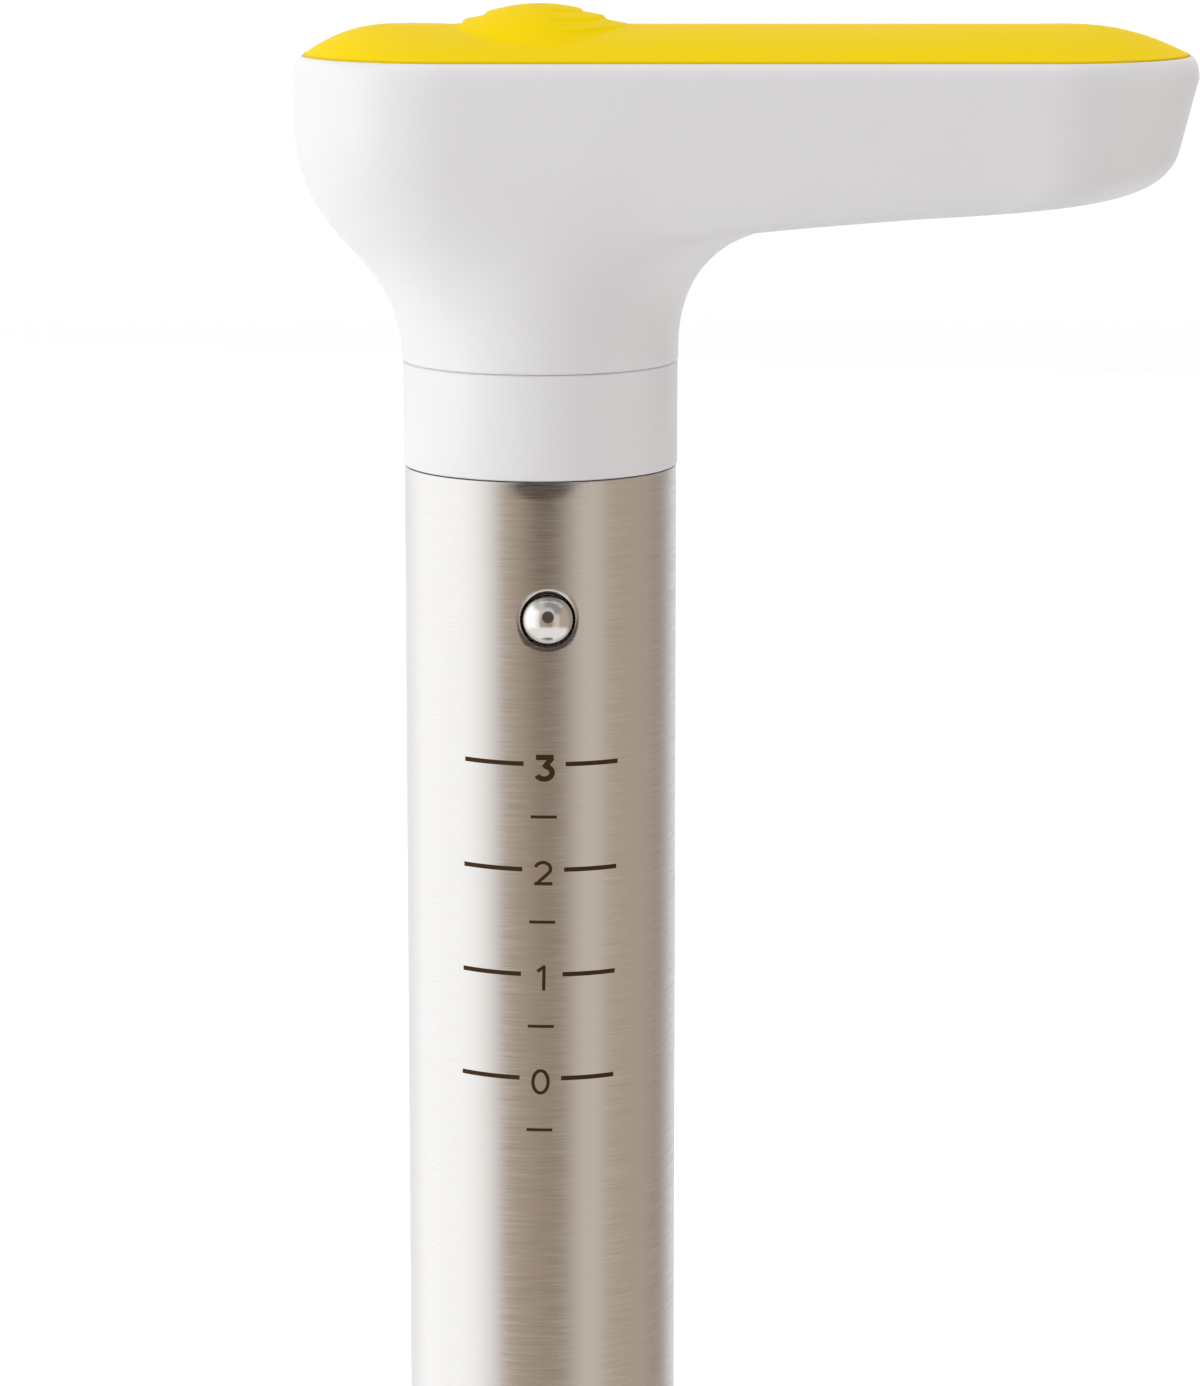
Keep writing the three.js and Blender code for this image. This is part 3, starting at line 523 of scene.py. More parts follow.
def makeShell():
    look = handleLook
    foot = layout["neckFoot"] - look["seamClosed"]
    depth = layout["rim"] - foot
    outer, inner = wallSection(0, depth), wallSection(look["wall"], depth - look["neckFloor"])
    lip = quarterRound(0, look["lipWidth"], look["lipRound"], handleMesh["lipSteps"])
    edge = look["footRound"]
    floorTop = foot + look["neckFloor"]
    neck = look["neckRadius"]
    rows = [
        atInset(look["lipWidth"], look["rebate"]),
        lip,
        between(lip[:, -1:], outer[:, :1], (0.25, 0.5, 0.75)),
        outer,
        between(outer[:, -1:], atNeck(neck, foot + edge), (0.5, 1)),
        atNeck(neck - edge * softShare, foot + edge * softShare),
        atNeck(neck - edge, foot),
        atNeck(look["bore"], foot),
        atNeck(look["bore"], floorTop),
        atNeck(neck - look["wall"], floorTop),
        inner[:, ::-1],
        between(inner[:, :1], atInset(look["wall"], look["rebate"]), (0.5, 1)),
    ]
    mesh = columnMesh("handleShell", np.concatenate(rows, 1), closeRows=True)
    cleanMesh(mesh, sharpAngle=50)
    addPiece(mesh, "handle", "whitePlastic", ["handle_shell"])


makeShell()
print("handle shell")


# Cover

coverLook = {
    "gap": 0.07,  # between its edge and the lip
    "edgeRound": 0.3,
    "proud": 0.12,  # how far its rim stands over the lip
    "thickness": 2.2,
    "crown": 3.53,
    "crownRunHead": 10.0,  # way in from the head's end in which the crown is reached
    "crownRunArm": 13.5,
    "whorlHeight": 2.5,
    "whorlLength": 10.8,  # half its size along the arm
    "whorlBreadth": 13.0,  # half its size across
    "whorlStart": 4.85,  # radius of its step where it looks along the arm
    "whorlPitch": 2.75,  # how far the step opens in a turn
    "treadSlope": 0.56,  # how much of the mound's slope the treads keep
    "stepWidth": 0.17,  # of the pitch
    "fullness": 1.2,
    "fadeTurn": 1 / 3,  # part of a turn before the arm where the step has faded out
    "fadeOver": (0.09, 0.17),  # parts of a turn from there between which it comes back
    "field": 15.0,  # radius of the finely meshed middle
}
# Rows of the middle, on to the edge, over the edge and back underneath.
coverMesh = {"fieldSteps": 95, "outerSteps": 35, "edgeSteps": 5, "underSteps": 11}


# Height over the rim: it stands proud at the edge and climbs a parabola from there,
# proud + crown * (1 - (1 - way in / run)^2). The run changes from half the breadth on the flanks
# to a shorter one at each end.
def crownAt(flat):
    look = coverLook
    spine = np.stack([np.clip(flat[..., 0], headCentre, armCentre), 0 * flat[..., 0]], -1)
    away = flat - spine
    distance = np.linalg.norm(away, axis=-1)
    breadth = halfWidth - handleLook["lipWidth"] - look["gap"]
    endRun = np.where(flat[..., 0] > 0, look["crownRunArm"], look["crownRunHead"])
    endShare = (away[..., 0] / distance.clip(tiny)) ** 2
    run = breadth + (endRun - breadth) * endShare
    climbed = np.clip((breadth - distance) / run, 0, 1)
    return look["proud"] + look["crown"] * (1 - (1 - climbed) ** 2)


# Height of the whorl over the crown. A mound, (1 - (radius / reach)^2)^fullness, is cut into a
# spiral stair: the radius that feeds the mound lags on each tread and catches up at each step,
# whose own radius grows by the pitch in a turn. The stair fades into the mound at the front.
def whorlAt(flat):
    look = coverLook
    radius = np.linalg.norm(flat, axis=-1)
    way = flat / radius.clip(tiny)[..., None]
    reach = np.hypot(way[..., 0] / look["whorlLength"], way[..., 1] / look["whorlBreadth"])
    reach = 1 / reach.clip(tiny)
    mound = lambda r: (1 - np.clip(r / reach, 0, 1) ** 2) ** look["fullness"]
    turn = np.arctan2(flat[..., 1], flat[..., 0]) / (2 * math.pi)
    turn = (turn + look["fadeTurn"]) % 1 - look["fadeTurn"]
    phase = (radius - look["whorlStart"]) / look["whorlPitch"] - turn
    tread = np.floor(phase)
    stair = smoothStep(phase - tread, 0, look["stepWidth"])
    lag = tread + look["treadSlope"] * (phase - tread) + (1 - look["treadSlope"]) * stair
    stepped = np.where(phase < 0, radius, (lag + turn) * look["whorlPitch"] + look["whorlStart"])
    fromFade = np.minimum(turn + look["fadeTurn"], 1 - look["fadeTurn"] - turn)
    shown = smoothStep(fromFade, *look["fadeOver"])
    return look["whorlHeight"] * (mound(radius) + (mound(stepped) - mound(radius)) * shown)


# Shares of the way from one end to the other, for the rows of a column.
def rowShares(steps, first=0, last=1):
    return np.linspace(first, last, steps + 1)[:, None]


# From the middle out, over the edge, down the skirt and back to the middle underneath.
def makeCover():
    look = coverLook
    inset = handleLook["lipWidth"] + look["gap"]
    far = outlinePlace - outlineNormal * (inset + look["edgeRound"])
    nearRadius = np.minimum(np.linalg.norm(far, axis=1) - look["edgeRound"], look["field"])
    far, near = far[:, None], (outlineNeck * nearRadius[:, None])[:, None]
    field = near * rowShares(coverMesh["fieldSteps"])
    outer = near + (far - near) * rowShares(coverMesh["outerSteps"])[1:]
    flat = np.concatenate([field, outer], 1)
    underInset = inset + look["thickness"]
    underFlat = (outlinePlace - outlineNormal * underInset)[:, None]
    underFlat = underFlat * rowShares(coverMesh["underSteps"], 1, 0)
    skirt = handleLook["rebate"] - layout["gap"]
    edge = quarterRound(inset, look["edgeRound"], look["edgeRound"], coverMesh["edgeSteps"])[:, 1:]
    edge[..., 2] += crownAt(far)
    rows = [
        withHeight(flat, layout["rim"] + crownAt(flat) + whorlAt(flat)),
        edge,
        atInset(inset, skirt),
        atInset(underInset, skirt),
        withHeight(underFlat, layout["rim"] + crownAt(underFlat) - look["thickness"]),
    ]
    mesh = columnMesh("topCover", np.concatenate(rows, 1), closeRows=False)
    cleanMesh(mesh, sharpAngle=50)
    addPiece(mesh, "handle", "yellowGrip", ["top_cover"])


makeCover()
print("top cover")


# Tube

tubeLook = {
    "wall": 0.6,
    "sides": 288,
    "edge": 0.14,  # rounding of its cut edges
    "holeRadius": 3.35,
    "holePatch": 16,  # grid steps from the hole's middle to the edge of its patch
    "holeStart": 8,  # grid steps to the ring that becomes the hole's edge
    "ringSpread": 1.15,  # over 1, the rings lie closer together near the hole
    "teeth": 12,
    "toothDepth": 1.8,
    "toothShares": (0, 0, 0, 0.6, 1, 1, 1, 0.6, 0),  # of the depth, evenly along one tooth
    "toothBlend": 5.0,  # height over which the teeth's rows even out
    "rows": (8, 29, 5),  # steps of the grid up the teeth, to the patch, and over it
}


# The outer skin is a grid of turn and height. Round the button its squares of grid points are
# drawn into rings, from a circle at the hole's edge back to the plain square at the patch's edge.
def tubeSkin():
    look = tubeLook
    sides, patch, first = look["sides"], look["holePatch"], look["holeStart"]
    radius = layout["tubeRadius"]
    step = 2 * math.pi * radius / sides
    middle = layout["buttonLevel"]
    top, edge = layout["tubeTop"], look["edge"]
    toothRows, bodyRows, topRows = look["rows"]
    heights = np.concatenate(
        [
            np.linspace(0, look["toothBlend"], toothRows + 1),
            np.linspace(look["toothBlend"], middle - patch * step, bodyRows + 1)[1:],
            middle + step * np.arange(1 - patch, patch + 1),
            np.linspace(middle + patch * step, top - edge, topRows + 1)[1:],
            [top - edge * softShare, top],
        ]
    )
    column = np.arange(sides)[None, :] + 0 * heights[:, None]
    height = heights[:, None] + 0 * column
    across, along = column - sides * frontTurn / 360, (height - middle) / step
    ring = np.maximum(np.abs(across), np.abs(along))
    ringed = (ring <= patch) & (ring > tiny)
    share = np.clip((ring - first) / (patch - first), 0, 1)
    length = np.hypot(across, along).clip(tiny)
    hole = look["holeRadius"] / step
    reach = hole + (patch - hole) * share ** look["ringSpread"]
    circle = np.stack([across / length, along / length]) * reach
    square = np.stack([across, along]) / ring.clip(tiny) * reach
    drawn = circle + (square - circle) * share
    across = np.where(ringed, drawn[0], across)
    height = np.where(ringed, middle + drawn[1] * step, height)
    tooth, alongTooth = look["toothShares"], (column[0] / sides * look["teeth"]) % 1
    tooth = np.interp(alongTooth, np.linspace(0, 1, len(tooth)), tooth)
    fade = np.clip(1 - heights / look["toothBlend"], 0, 1)[:, None]
    height = height + look["toothDepth"] * tooth[None, :] * fade
    turn = frontTurn + across * 360 / sides
    depth = np.zeros_like(height)
    depth[-2], depth[-1] = edge * softShare, edge
    depth = np.where(np.abs(ring - first) < tiny, edge, depth)
    return turn, height, depth, ring


# Outer skin and bore share their faces' layout, without the squares inside the hole. Strips join
# them at the foot, at the head and round the hole, whose points are put in order round it.
def makeTube():
    look = tubeLook
    turn, height, depth, ring = tubeSkin()
    rows, sides = turn.shape
    way = directions(turn)
    outer = withHeight(way * (layout["tubeRadius"] - depth)[..., None], height)
    inner = withHeight(way * (layout["tubeRadius"] - look["wall"]), height)
    count = rows * sides
    faces = gridFaces(rows, sides)
    kept = faces[ring.reshape(-1)[faces].max(1) > look["holeStart"] + tiny]
    foot, head = np.arange(sides), np.arange(sides) + count - sides
    hole = np.flatnonzero(np.abs(ring.reshape(-1) - look["holeStart"]) < tiny)
    across = np.radians(turn.reshape(-1)[hole] - frontTurn) * layout["tubeRadius"]
    along = height.reshape(-1)[hole] - layout["buttonLevel"]
    hole = hole[np.argsort(np.arctan2(along, across))]
    strip = lambda loop, onwards: np.stack([loop, onwards, onwards + count, loop + count], -1)
    strips = [strip(loop, np.roll(loop, -1)) for loop in (foot, head, hole)]
    faces = np.concatenate([kept, kept[:, ::-1] + count, *strips])
    points = np.concatenate([outer.reshape(-1, 3), inner.reshape(-1, 3)])
    used = np.unique(faces)
    mesh = quadMesh("coreTube", onShaft(points)[used], np.searchsorted(used, faces))
    cleanMesh(mesh, sharpAngle=42)
    addPiece(mesh, "shaft", "tubeSteel", ["core_tube"])


makeTube()
print("tube")


# Depth marks

markLook = {
    "firstLine": 144.33,  # height of the line beside the 3
    "pitch": 12.92,
    "lean": 0.9,  # degrees that the row of marks leans towards the arm
    "lineWidth": 0.54,
    "leftLine": (-36.4, -10.2),  # degrees from the button, towards the arm
    "rightLine": (7.3, 30.9),
    "tickWidth": 0.36,
    "tick": (-7.0, 3.9),
    "digitMiddle": -1.35,
    "digitHeight": 3.1,
    "digitWidth": 2.3,
    "digitDrop": 0.45,  # from the line down to the digit's middle
    "strokes": {3: 0.66, 2: 0.4, 1: 0.4, 0: 0.4},  # width of each digit's strokes
    "lift": 0.02,  # of the marks' face over the tube
    "sink": 0.05,
    "lineSteps": 24,
    "arcSteps": 40,
    "mitre": 0.45,  # smallest cosine that widens a stroke at a corner
}
# Strokes of each digit in shares of its width and height, as ("line", start, end) or
# ("arc", middle, radii, first and last angle).
digitStrokes = {
    3: [("line", (0.03, 0.91), (0.95, 0.91)), ("line", (0.87, 0.9), (0.45, 0.5)),
        ("arc", (0.47, 0.31), (0.41, 0.25), 85, -155)],
    2: [("arc", (0.47, 0.68), (0.4, 0.25), 165, -38), ("line", (0.79, 0.53), (0.17, 0.1)),
        ("line", (0.03, 0.09), (0.98, 0.09))],
    1: [("line", (0.26, 0.76), (0.6, 0.95)), ("line", (0.6, 1.0), (0.6, 0.0))],
    0: [("arc", (0.5, 0.5), (0.4, 0.45), 90, 450)],
}


# A flat stroke along a path: each point is moved to both sides by half the width along the
# bisector of its corner, and the strip leans with the row and is laid round the tube,
# turn = x / radius.
def strokeMesh(path, width, height):
    look = markLook
    lean = np.radians(look["lean"])
    path = path + [0, height - look["firstLine"]]
    path = path @ np.array([[np.cos(lean), -np.sin(lean)], [np.sin(lean), np.cos(lean)]])
    way = np.diff(path, axis=0)
    way /= np.linalg.norm(way, axis=1, keepdims=True)
    before, after = np.vstack([way[:1], way]), np.vstack([way, way[-1:]])
    normal = np.stack([-before[:, 1] - after[:, 1], before[:, 0] + after[:, 0]], -1)
    normal /= np.linalg.norm(normal, axis=1, keepdims=True)
    cosine = np.abs(normal[:, 0] * -before[:, 1] + normal[:, 1] * before[:, 0]).clip(look["mitre"])
    offset = normal * (width / 2 / cosine)[:, None]
    flat = np.stack([path - offset, path + offset, path + offset, path - offset], 1)
    level = np.array([look["lift"], look["lift"], -look["sink"], -look["sink"]])
    radius = (layout["tubeRadius"] + level)[None, :, None]
    turn = frontTurn + np.degrees(flat[..., 0] / layout["tubeRadius"])
    points, faces = swept(withHeight(directions(turn) * radius, flat[..., 1] + look["firstLine"]))
    return onShaft(points).reshape(-1, 3), faces


# Paths of a digit's strokes round its own middle.
def digitPaths(digit):
    look = markLook
    size = np.array([look["digitWidth"], look["digitHeight"]])
    for kind, *shape in digitStrokes[digit]:
        if kind == "line":
            path = np.linspace(*shape, look["lineSteps"])
        else:
            middle, radii, first, last = shape
            turn = np.linspace(first, last, look["arcSteps"])
            path = np.array(middle) + directions(turn) * radii
        yield (path - 0.5) * size


# For each digit, from the top down: a line on either side of it, and a tick half a pitch below.
def makeMarks():
    look = markLook
    degree = math.radians(1) * layout["tubeRadius"]
    parts = []
    line = lambda ends: np.linspace(*((end * degree, 0) for end in ends), look["lineSteps"])
    for i, (digit, stroke) in enumerate(look["strokes"].items()):
        height = look["firstLine"] - i * look["pitch"]
        parts.append(strokeMesh(line(look["leftLine"]), look["lineWidth"], height))
        parts.append(strokeMesh(line(look["rightLine"]), look["lineWidth"], height))
        parts.append(strokeMesh(line(look["tick"]), look["tickWidth"], height - look["pitch"] / 2))
        for path in digitPaths(digit):
            placed = path + [look["digitMiddle"] * degree, -look["digitDrop"]]
            parts.append(strokeMesh(placed, stroke, height))
    starts = np.cumsum([0] + [len(points) for points, _ in parts[:-1]])
    points = np.concatenate([points for points, _ in parts])
    faces = np.concatenate([faces + start for (_, faces), start in zip(parts, starts)])
    mesh = quadMesh("depthMarks", points, faces)
    cleanMesh(mesh, sharpAngle=30)
    addPiece(mesh, "shaft", "etchedOxide")


makeMarks()
print("depth marks")


# Blade and ring

bladeLook = {
    "sweep": 352.0,  # degrees
    "pitch": 12.7,
    "ringDepth": 11.0,  # from the blade down to the ring's tips, and so the blade's lowest level
    "inner": 16.8,
    "outer": 42.0,
    "thickness": 0.8,
    "edge": 0.16,
    "grindWidth": 3.6,  # how far back from the leading edge the bevel is ground
    "scallopRadius": 3.2,
    "scallopDepth": 1.0,
    "scallops": 4,
    "leadTurn": 10,  # degrees behind the leading edge over which the scallops fade out
    "steps": (120, 40, 342),  # across the blade, along its lead, and along the rest
}
ringLook = {
    "radius": 43.1,
    "wall": 0.8,
    "teeth": 40,
    "toothDepth": 1.6,
    "toothShares": (0, 1, 0.5),
    "shareSteps": 4,  # grid steps from one share to the next
    "round": 0.14,
}


def spiralLevel(turn):
    return bladeLook["ringDepth"] + bladeLook["pitch"] * turn / 360


# The blade is a flat section carried round the axis at the spiral's height,
# ring depth + pitch * turn / 360. Near its start the turn of each point lags by the scallops'
# depth there, and its thickness grows from the ground edge.
def makeBlade():
    look = bladeLook
    acrossSteps, leadSteps, restSteps = look["steps"]
    across = np.linspace(look["inner"], look["outer"], acrossSteps + 1)
    space = (look["outer"] - look["inner"]) / (look["scallops"] + 1)
    nearest = np.clip(np.round((across - look["inner"]) / space), 1, look["scallops"])
    nearest = look["inner"] + space * nearest
    chord = np.maximum(look["scallopRadius"] ** 2 - (across - nearest) ** 2, 0) ** 0.5
    bite = np.maximum(chord + look["scallopDepth"] - look["scallopRadius"], 0)
    lead = np.linspace(0, look["leadTurn"], leadSteps + 1)
    turn = np.concatenate([lead, np.linspace(look["leadTurn"], look["sweep"], restSteps + 1)[1:]])
    radius = np.concatenate([across, across[::-1]])
    bite = np.concatenate([bite, bite[::-1]])
    lag = np.degrees(bite / radius)[None, :] * np.clip(1 - turn / look["leadTurn"], 0, 1)[:, None]
    placed = turn[:, None] + lag
    behind = np.clip((np.radians(placed) * radius - bite) / look["grindWidth"], 0, 1)
    thick = look["edge"] + (look["thickness"] - look["edge"]) * behind
    isTop = np.repeat([0.0, 1.0], len(across))
    height = spiralLevel(placed) + isTop * thick
    points, faces = swept(withHeight(directions(placed) * radius[None, :, None], height))
    mesh = quadMesh("spiralBlade", onCrank(points), faces)
    cleanMesh(mesh, sharpAngle=35)
    addPiece(mesh, "shaft", "bladeSteel", ["spiral_blade"])


# The ring is an upright section carried along the same spiral. Its lower edge goes up and down
# with the teeth, each a tip, a gullet and a slope back.
def makeRing():
    look = ringLook
    steps = look["teeth"] * len(look["toothShares"]) * look["shareSteps"]
    turn = np.linspace(0, bladeLook["sweep"], steps + 1)
    tooth = (*look["toothShares"], look["toothShares"][0])
    place = np.linspace(0, look["teeth"], steps + 1) % 1
    shares = np.interp(place, np.linspace(0, 1, len(tooth)), tooth)
    bottom = spiralLevel(turn) - bladeLook["ringDepth"] + look["toothDepth"] * shares
    top = spiralLevel(turn) + bladeLook["thickness"]
    inner, outer, soft = look["radius"] - look["wall"], look["radius"], look["round"]
    radii = [inner + soft, outer - soft, outer, outer, outer - soft, inner + soft, inner, inner]
    isTop = np.array([0, 0, 0, 1, 1, 1, 1, 0])
    nudge = np.array([0, 0, soft, -soft, 0, 0, -soft, soft])
    height = bottom[:, None] * (1 - isTop) + top[:, None] * isTop + nudge
    flat = directions(turn)[:, None] * np.array(radii)[None, :, None]
    points, faces = swept(withHeight(flat, height))
    mesh = quadMesh("cuttingRing", onCrank(points), faces)
    cleanMesh(mesh, sharpAngle=35)
    addPiece(mesh, "shaft", "bladeSteel", ["cutting_ring"])


makeBlade()
makeRing()
print("blade and ring")


# Hub

hubLook = {
    "radius": 16.65,
    "shoulder": 2.4,
    "web": 3.2,
    "spindle": 4.5,
    "spindleBore": 1.9,
    "boreDepth": 6.5,
    "flat": 3.6,  # from the axis to each of the spindle's flats
    "edge": 0.4,  # rounding of the collar's two rims
    "softEdge": 0.3,
    "fineEdge": 0.1,
    "spindleRoot": 0.2,
    "seamClosed": (0.2, 0.14),  # how much of the gaps under and over the collar it fills
    "sides": 240,
}


# The hub is a closed profile turned round the axis. Above the wheel's seat the spindle's sides are
# clamped to its two flats.
def makeHub():
    look = hubLook
    low, high = boxOf("drive_hub")
    wheelFoot = boxOf("ratchet_wheel")[0][2]
    foot = low[2] - look["seamClosed"][0]
    head = layout["neckFoot"] - layout["gap"] + look["seamClosed"][1]
    web = head - look["web"]
    inner = look["radius"] - look["shoulder"]
    corners = [
        [0, web], [inner, web], [inner, foot], [look["radius"], foot], [look["radius"], head],
        [look["spindle"], head], [look["spindle"], high[2]], [look["spindleBore"], high[2]],
        [look["spindleBore"], high[2] - look["boreDepth"]], [0, high[2] - look["boreDepth"]],
    ]
    soft, fine = look["softEdge"], look["fineEdge"]
    radii = [0, soft, fine, look["edge"], look["edge"], look["spindleRoot"], soft, fine, fine, 0]
    points, faces = turned(softProfile(corners, radii, steps=5), look["sides"])
    outside = np.linalg.norm(points[..., :2], axis=-1) > look["spindleBore"] + fine
    keyed = (points[..., 2] > wheelFoot) & outside
    clamped = np.clip(points[..., 0], -look["flat"], look["flat"])
    points[..., 0] = np.where(keyed, clamped, points[..., 0])
    mesh = quadMesh("driveHub", onShaft(points), faces)
    cleanMesh(mesh, sharpAngle=50)
    addPiece(mesh, "drive", "whitePlastic", ["drive_hub"])


makeHub()
print("hub")


# Button

buttonLook = {
    "radius": 3.12,
    "flangeRadius": 4.3,
    "flange": 1.0,
    "travel": 3.0,  # from rest to pressed
    "edge": 0.15,
    "domeSteps": 24,
    "sides": 96,
}


# A flanged pin turned round its own axis and ended by a half ball.
def makeButton():
    look = buttonLook
    low, high = boxOf("release_button")
    turn = math.radians(layout["shaftTurn"])
    tip = -low[1] / math.cos(turn)
    back = tip - (high[1] - low[1] - look["flangeRadius"] * math.sin(turn)) / math.cos(turn)
    rise = np.linspace(0, math.pi / 2, look["domeSteps"])
    centre = tip - look["radius"]
    dome = np.stack([look["radius"] * np.cos(rise), centre + look["radius"] * np.sin(rise)], -1)
    foot = softProfile(
        [[0, back], [look["flangeRadius"], back], [look["flangeRadius"], back + look["flange"]],
         [look["radius"], back + look["flange"]]],
        [0, look["edge"], look["edge"], 0], steps=3,
    )
    points, faces = turned(np.concatenate([foot, dome]), look["sides"])
    mesh = quadMesh("releaseButton", alongButton(points), faces)
    cleanMesh(mesh, sharpAngle=50)
    addPiece(mesh, "button", "buttonChrome", ["release_button"])


makeButton()
print("button")


# Works inside: each is a merged copy of its node with smooth sides and its own finish

worksFinish = {
    # body and material; the leaf springs ride on no single body
    "locking_plug": ("drive", "innerPlastic"),
    "plug_screw_left": ("drive", "zincSteel"),
    "plug_screw_right": ("drive", "zincSteel"),
    "button_spring": ("drive", "zincSteel"),
    "ratchet_wheel": ("drive", "bearingPlastic"),
    "spindle_washer": ("drive", "zincSteel"),
    "spindle_screw": ("drive", "zincSteel"),
    "neck_bush": ("handle", "bearingPlastic"),
    "pawl_carrier": ("handle", "innerPlastic"),
    "ratchet_cover": ("handle", "zincSteel"),
    "carrier_screw_left": ("handle", "zincSteel"),
    "carrier_screw_right": ("handle", "zincSteel"),
    "pawl_pin_left": ("handle", "zincSteel"),
    "pawl_pin_right": ("handle", "zincSteel"),
    "pawl_spring_left": (None, "zincSteel"),
    "pawl_spring_right": (None, "zincSteel"),
    "pawl_left": ("pawl_left", "bearingPlastic"),
    "pawl_right": ("pawl_right", "bearingPlastic"),
}


def camelName(node):
    first, *others = node.split("_")
    return first + "".join(word.capitalize() for word in others)


def makeWork(node):
    body, material = worksFinish[node]
    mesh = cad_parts[node].data.copy()
    mesh.name = camelName(node)
    cleanMesh(mesh, sharpAngle=32, recalculate=False)
    return addPiece(mesh, body, material, [node])


# The coil is given a mesh of its own; its points are read but not moved.
def pressSpring(spring):
    places = np.empty(3 * len(spring.data.vertices))
    spring.data.vertices.foreach_get("co", places)
    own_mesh(spring)


# A leaf's placing is baked into its mesh; it stays as it is and does not bend.
def bendLeaf(leaf):
    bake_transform(leaf)


works = {node: makeWork(node) for node in worksFinish}
pressSpring(works["button_spring"])
bendLeaf(works["pawl_spring_left"])
bendLeaf(works["pawl_spring_right"])
print("works", len(works))


# Stage

stageLook = {
    # metres
    "left": 4.5,
    "right": 4.5,
    "front": 2.25,
    "back": 11.25,
    "near": 0.5,
    "far": 2.6,
    "floor": (0.82, 0.82, 0.82),
    "roughness": 0.9,
    "glow": (0.5, 0.9),  # at the near and at the far distance
}


# The floor is matt. Seen straight it glows as well, more with the distance from the middle, so
# that it reads white and keeps the shadow. Reflections look past it at the studio.
def makeFloor():
    look = stageLook
    left, right, front, back = -look["left"], look["right"], -look["front"], look["back"]
    mesh = bpy.data.meshes.new("floor")
    corners = [(left, front, 0), (right, front, 0), (right, back, 0), (left, back, 0)]
    mesh.from_pydata(corners, [], [(0, 1, 2, 3)])
    floor = addObject("floor", mesh)
    floor.visible_glossy = False
    material, tree, shader = newMaterial("paleFloor")
    away = combine(tree, "LENGTH", ownPlace(tree), kind="ShaderNodeVectorMath").outputs["Value"]
    rise = mapRange(tree, away, look["near"], look["far"], *look["glow"])
    straight = addNode(tree, "ShaderNodeLightPath").outputs["Is Camera Ray"]
    feed(tree, shader, {
        "Base Color": (*look["floor"], 1),
        "Roughness": look["roughness"],
        "Emission Color": (1, 1, 1, 1),
        "Emission Strength": combine(tree, "MULTIPLY", straight, rise).outputs[0],
    })
    mesh.materials.append(material)


worldLook = {
    "ambient": 0.15,
    # the studio in a reflection: degrees from the front towards the arm, brightness, warmth
    "bands": [(-180, 1.0, 0), (-150, 1.04, 0), (-120, 1.36, 0), (-62, 1.3, 0),
              (-48, 1.1, 0.05), (-40, 0.95, 0.1), (-31, 0.52, 0.4), (-10, 0.46, 0.5),
              (14, 0.36, 0.45), (20, 0.43, 0.4), (33, 0.72, 0.25), (50, 0.74, 0.25),
              (60, 0.53, 0.4), (103, 0.52, 0.4), (118, 0.38, 0.25), (130, 0.5, 0.15),
              (138, 0.66, 0.1), (150, 0.86, 0), (180, 1.0, 0)],
    "warm": (0.45, 0.85),  # how much full warmth takes from green and from blue
    # patches over the bands: direction, cosines from it where it begins and is full, colour
    "patches": [((0, 0, 1), (0.5, 0.8), (0.62, 0.61, 0.59)),
                ((0.4, -0.3, 0.87), (0.72, 0.94), (0.34, 0.32, 0.3)),
                ((0.02, -0.86, 0.5), (0.78, 0.93), (0.68, 0.65, 0.62)),
                ((0.04, -0.955, 0.29), (0.865, 0.92), (0.1, 0.075, 0.065)),
                ((0, 0, -1), (0.35, 0.6), (0.95, 0.93, 0.9))],
}


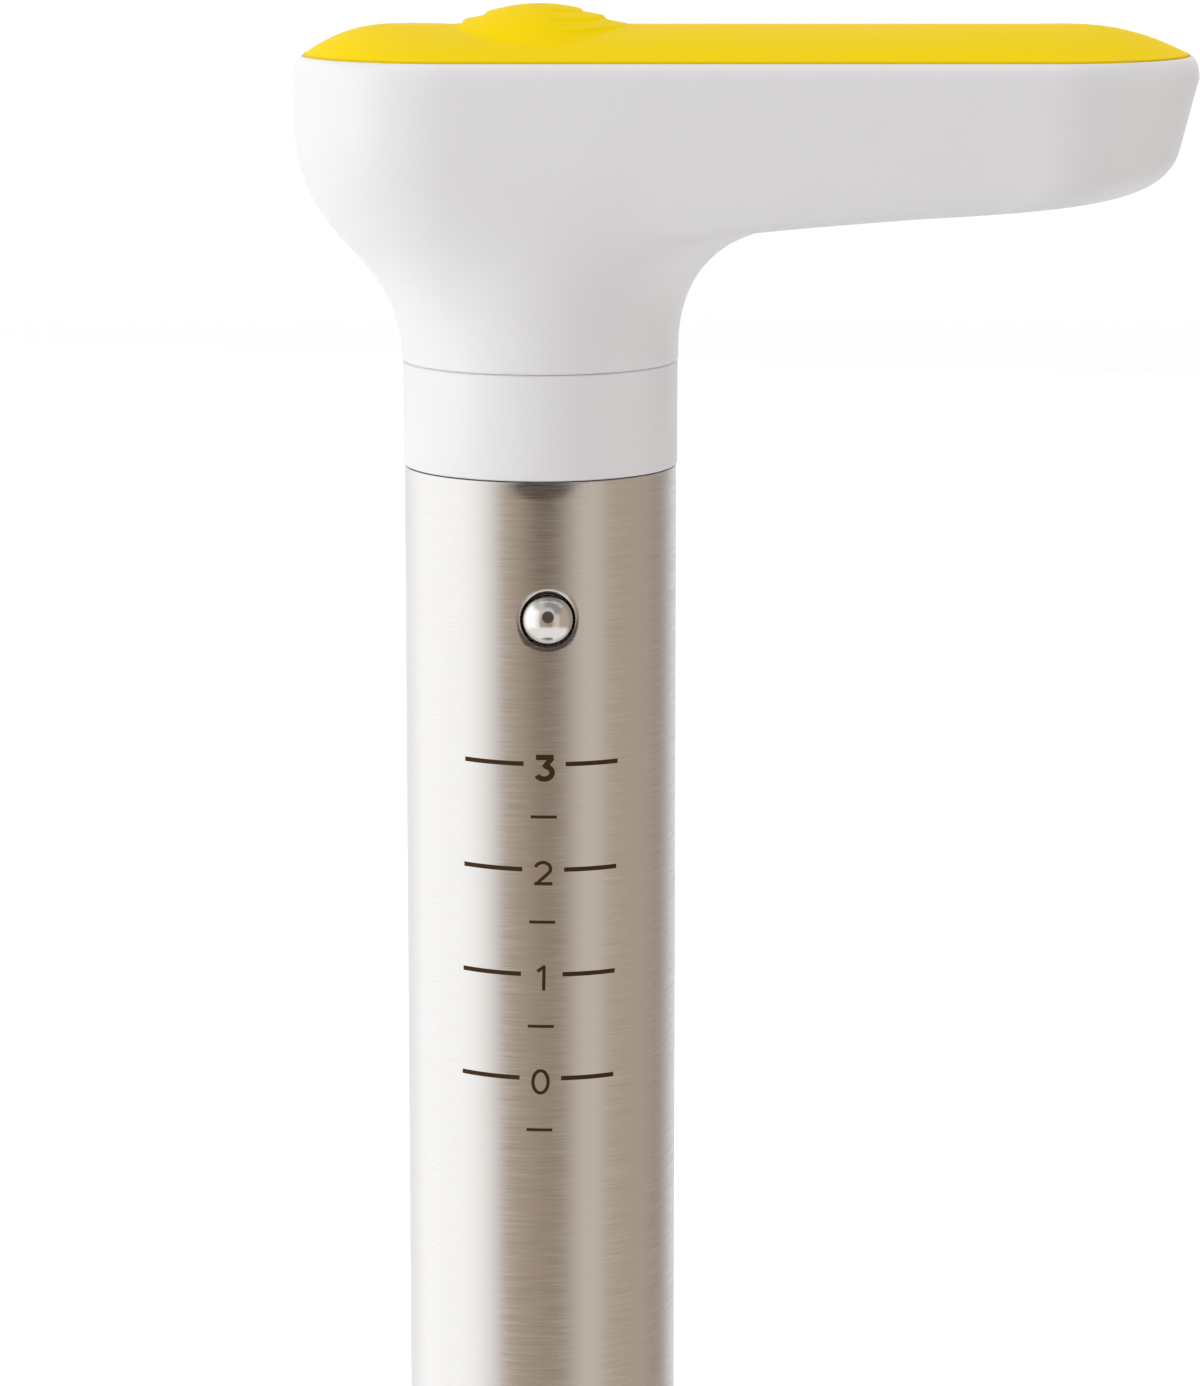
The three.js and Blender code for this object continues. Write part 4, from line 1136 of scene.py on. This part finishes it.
# The world is an even white. In a reflection it is a studio whose brightness goes by direction.
def makeWorld():
    look = worldLook
    lessGreen, lessBlue = look["warm"]
    world = bpy.data.worlds.new("studio")
    bpy.context.scene.world = world
    world.use_nodes = True
    tree = world.node_tree
    way = addNode(tree, "ShaderNodeTexCoord").outputs["Generated"]
    parts = addNode(tree, "ShaderNodeSeparateXYZ", {0: way})
    front = combine(tree, "MULTIPLY", parts.outputs["Y"], -1.0).outputs[0]
    turn = combine(tree, "ARCTAN2", parts.outputs["X"], front).outputs[0]
    share = mapRange(tree, turn, -math.pi, math.pi)
    ramp = addNode(tree, "ShaderNodeValToRGB", {"Fac": share})
    stops = ramp.color_ramp.elements
    for i, (degrees, light, warmth) in enumerate(look["bands"]):
        place = (degrees + 180) / 360
        stop = stops[0] if i == 0 else stops.new(place)
        stop.position = place
        stop.color = (light, light * (1 - lessGreen * warmth), light * (1 - lessBlue * warmth), 1)
    stops.remove(stops[len(stops) - 1])  # the ramp's own last stop
    studio = ramp.outputs["Color"]
    for towards, (begins, full), colour in look["patches"]:
        cosine = combine(tree, "DOT_PRODUCT", way, towards, kind="ShaderNodeVectorMath")
        cosine = cosine.outputs["Value"]
        share = mapRange(tree, cosine, begins, full, interpolation_type="SMOOTHSTEP")
        studio = mixColours(tree, share, studio, colour)
    path = addNode(tree, "ShaderNodeLightPath")
    glossy = mixColours(tree, path.outputs["Is Glossy Ray"], (look["ambient"],) * 3, studio)
    seen = mixColours(tree, path.outputs["Is Camera Ray"], glossy, (1, 1, 1))
    feed(tree, tree.nodes["Background"], {"Color": seen})


lampLook = {
    # place and size in metres, power in watts
    "topSoftbox": {"place": (0.0, -0.1, 1.5), "size": (1.4, 1.4),
                   "power": 13.4, "tint": (1, 1, 1)},
    "leftSoftbox": {"place": (-1.2, -0.38, 0.3), "size": (0.6, 0.6),
                    "power": 9.7, "tint": (1, 1, 1)},
    "frontFill": {"place": (0.0, -1.3, 0.06), "size": (1.2, 0.3),
                  "power": 2.75, "tint": (1, 0.98, 0.985)},
    "rightFill": {"place": (1.3, -0.53, 0.3), "size": (1.0, 0.7),
                  "power": 5.5, "tint": (1, 0.95, 0.955)},
    "backFill": {"place": (0.3, 1.4, 0.5), "size": (1.2, 0.8),
                 "power": 4.0, "tint": (1, 1, 1)},
}
lampTarget = 0.17  # height on the shaft's axis that all of them point at


def makeLamps():
    target = np.array([layout["axisX"] * unit, 0, lampTarget])
    for name, look in lampLook.items():
        data = bpy.data.lights.new(name, "AREA")
        data.shape = "RECTANGLE"
        data.size, data.size_y = look["size"]
        data.energy = look["power"]
        data.color = look["tint"]
        lamp = addObject(name, data)
        lamp.location = look["place"]
        way = Vector(target - np.array(look["place"]))
        lamp.rotation_euler = way.to_track_quat("-Z", "Y").to_euler()
        lamp.visible_glossy = False


makeFloor()
makeWorld()
makeLamps()
bpy.context.scene.view_settings.view_transform = "Standard"
print("stage")


# Camera

cameraLook = {
    "place": (-0.01067, -0.60209, 0.26365),
    "pitch": 79.3,  # degrees up from looking straight down
    "lens": 150.0,
    "sensor": 36.0,
}


def makeCamera():
    data = bpy.data.cameras.new("camera")
    data.lens = cameraLook["lens"]
    data.sensor_fit = "HORIZONTAL"
    data.sensor_width = cameraLook["sensor"]
    camera = addObject("camera", data)
    camera.location = cameraLook["place"]
    camera.rotation_euler = (math.radians(cameraLook["pitch"]), 0, 0)
    bpy.context.scene.camera = camera


makeCamera()
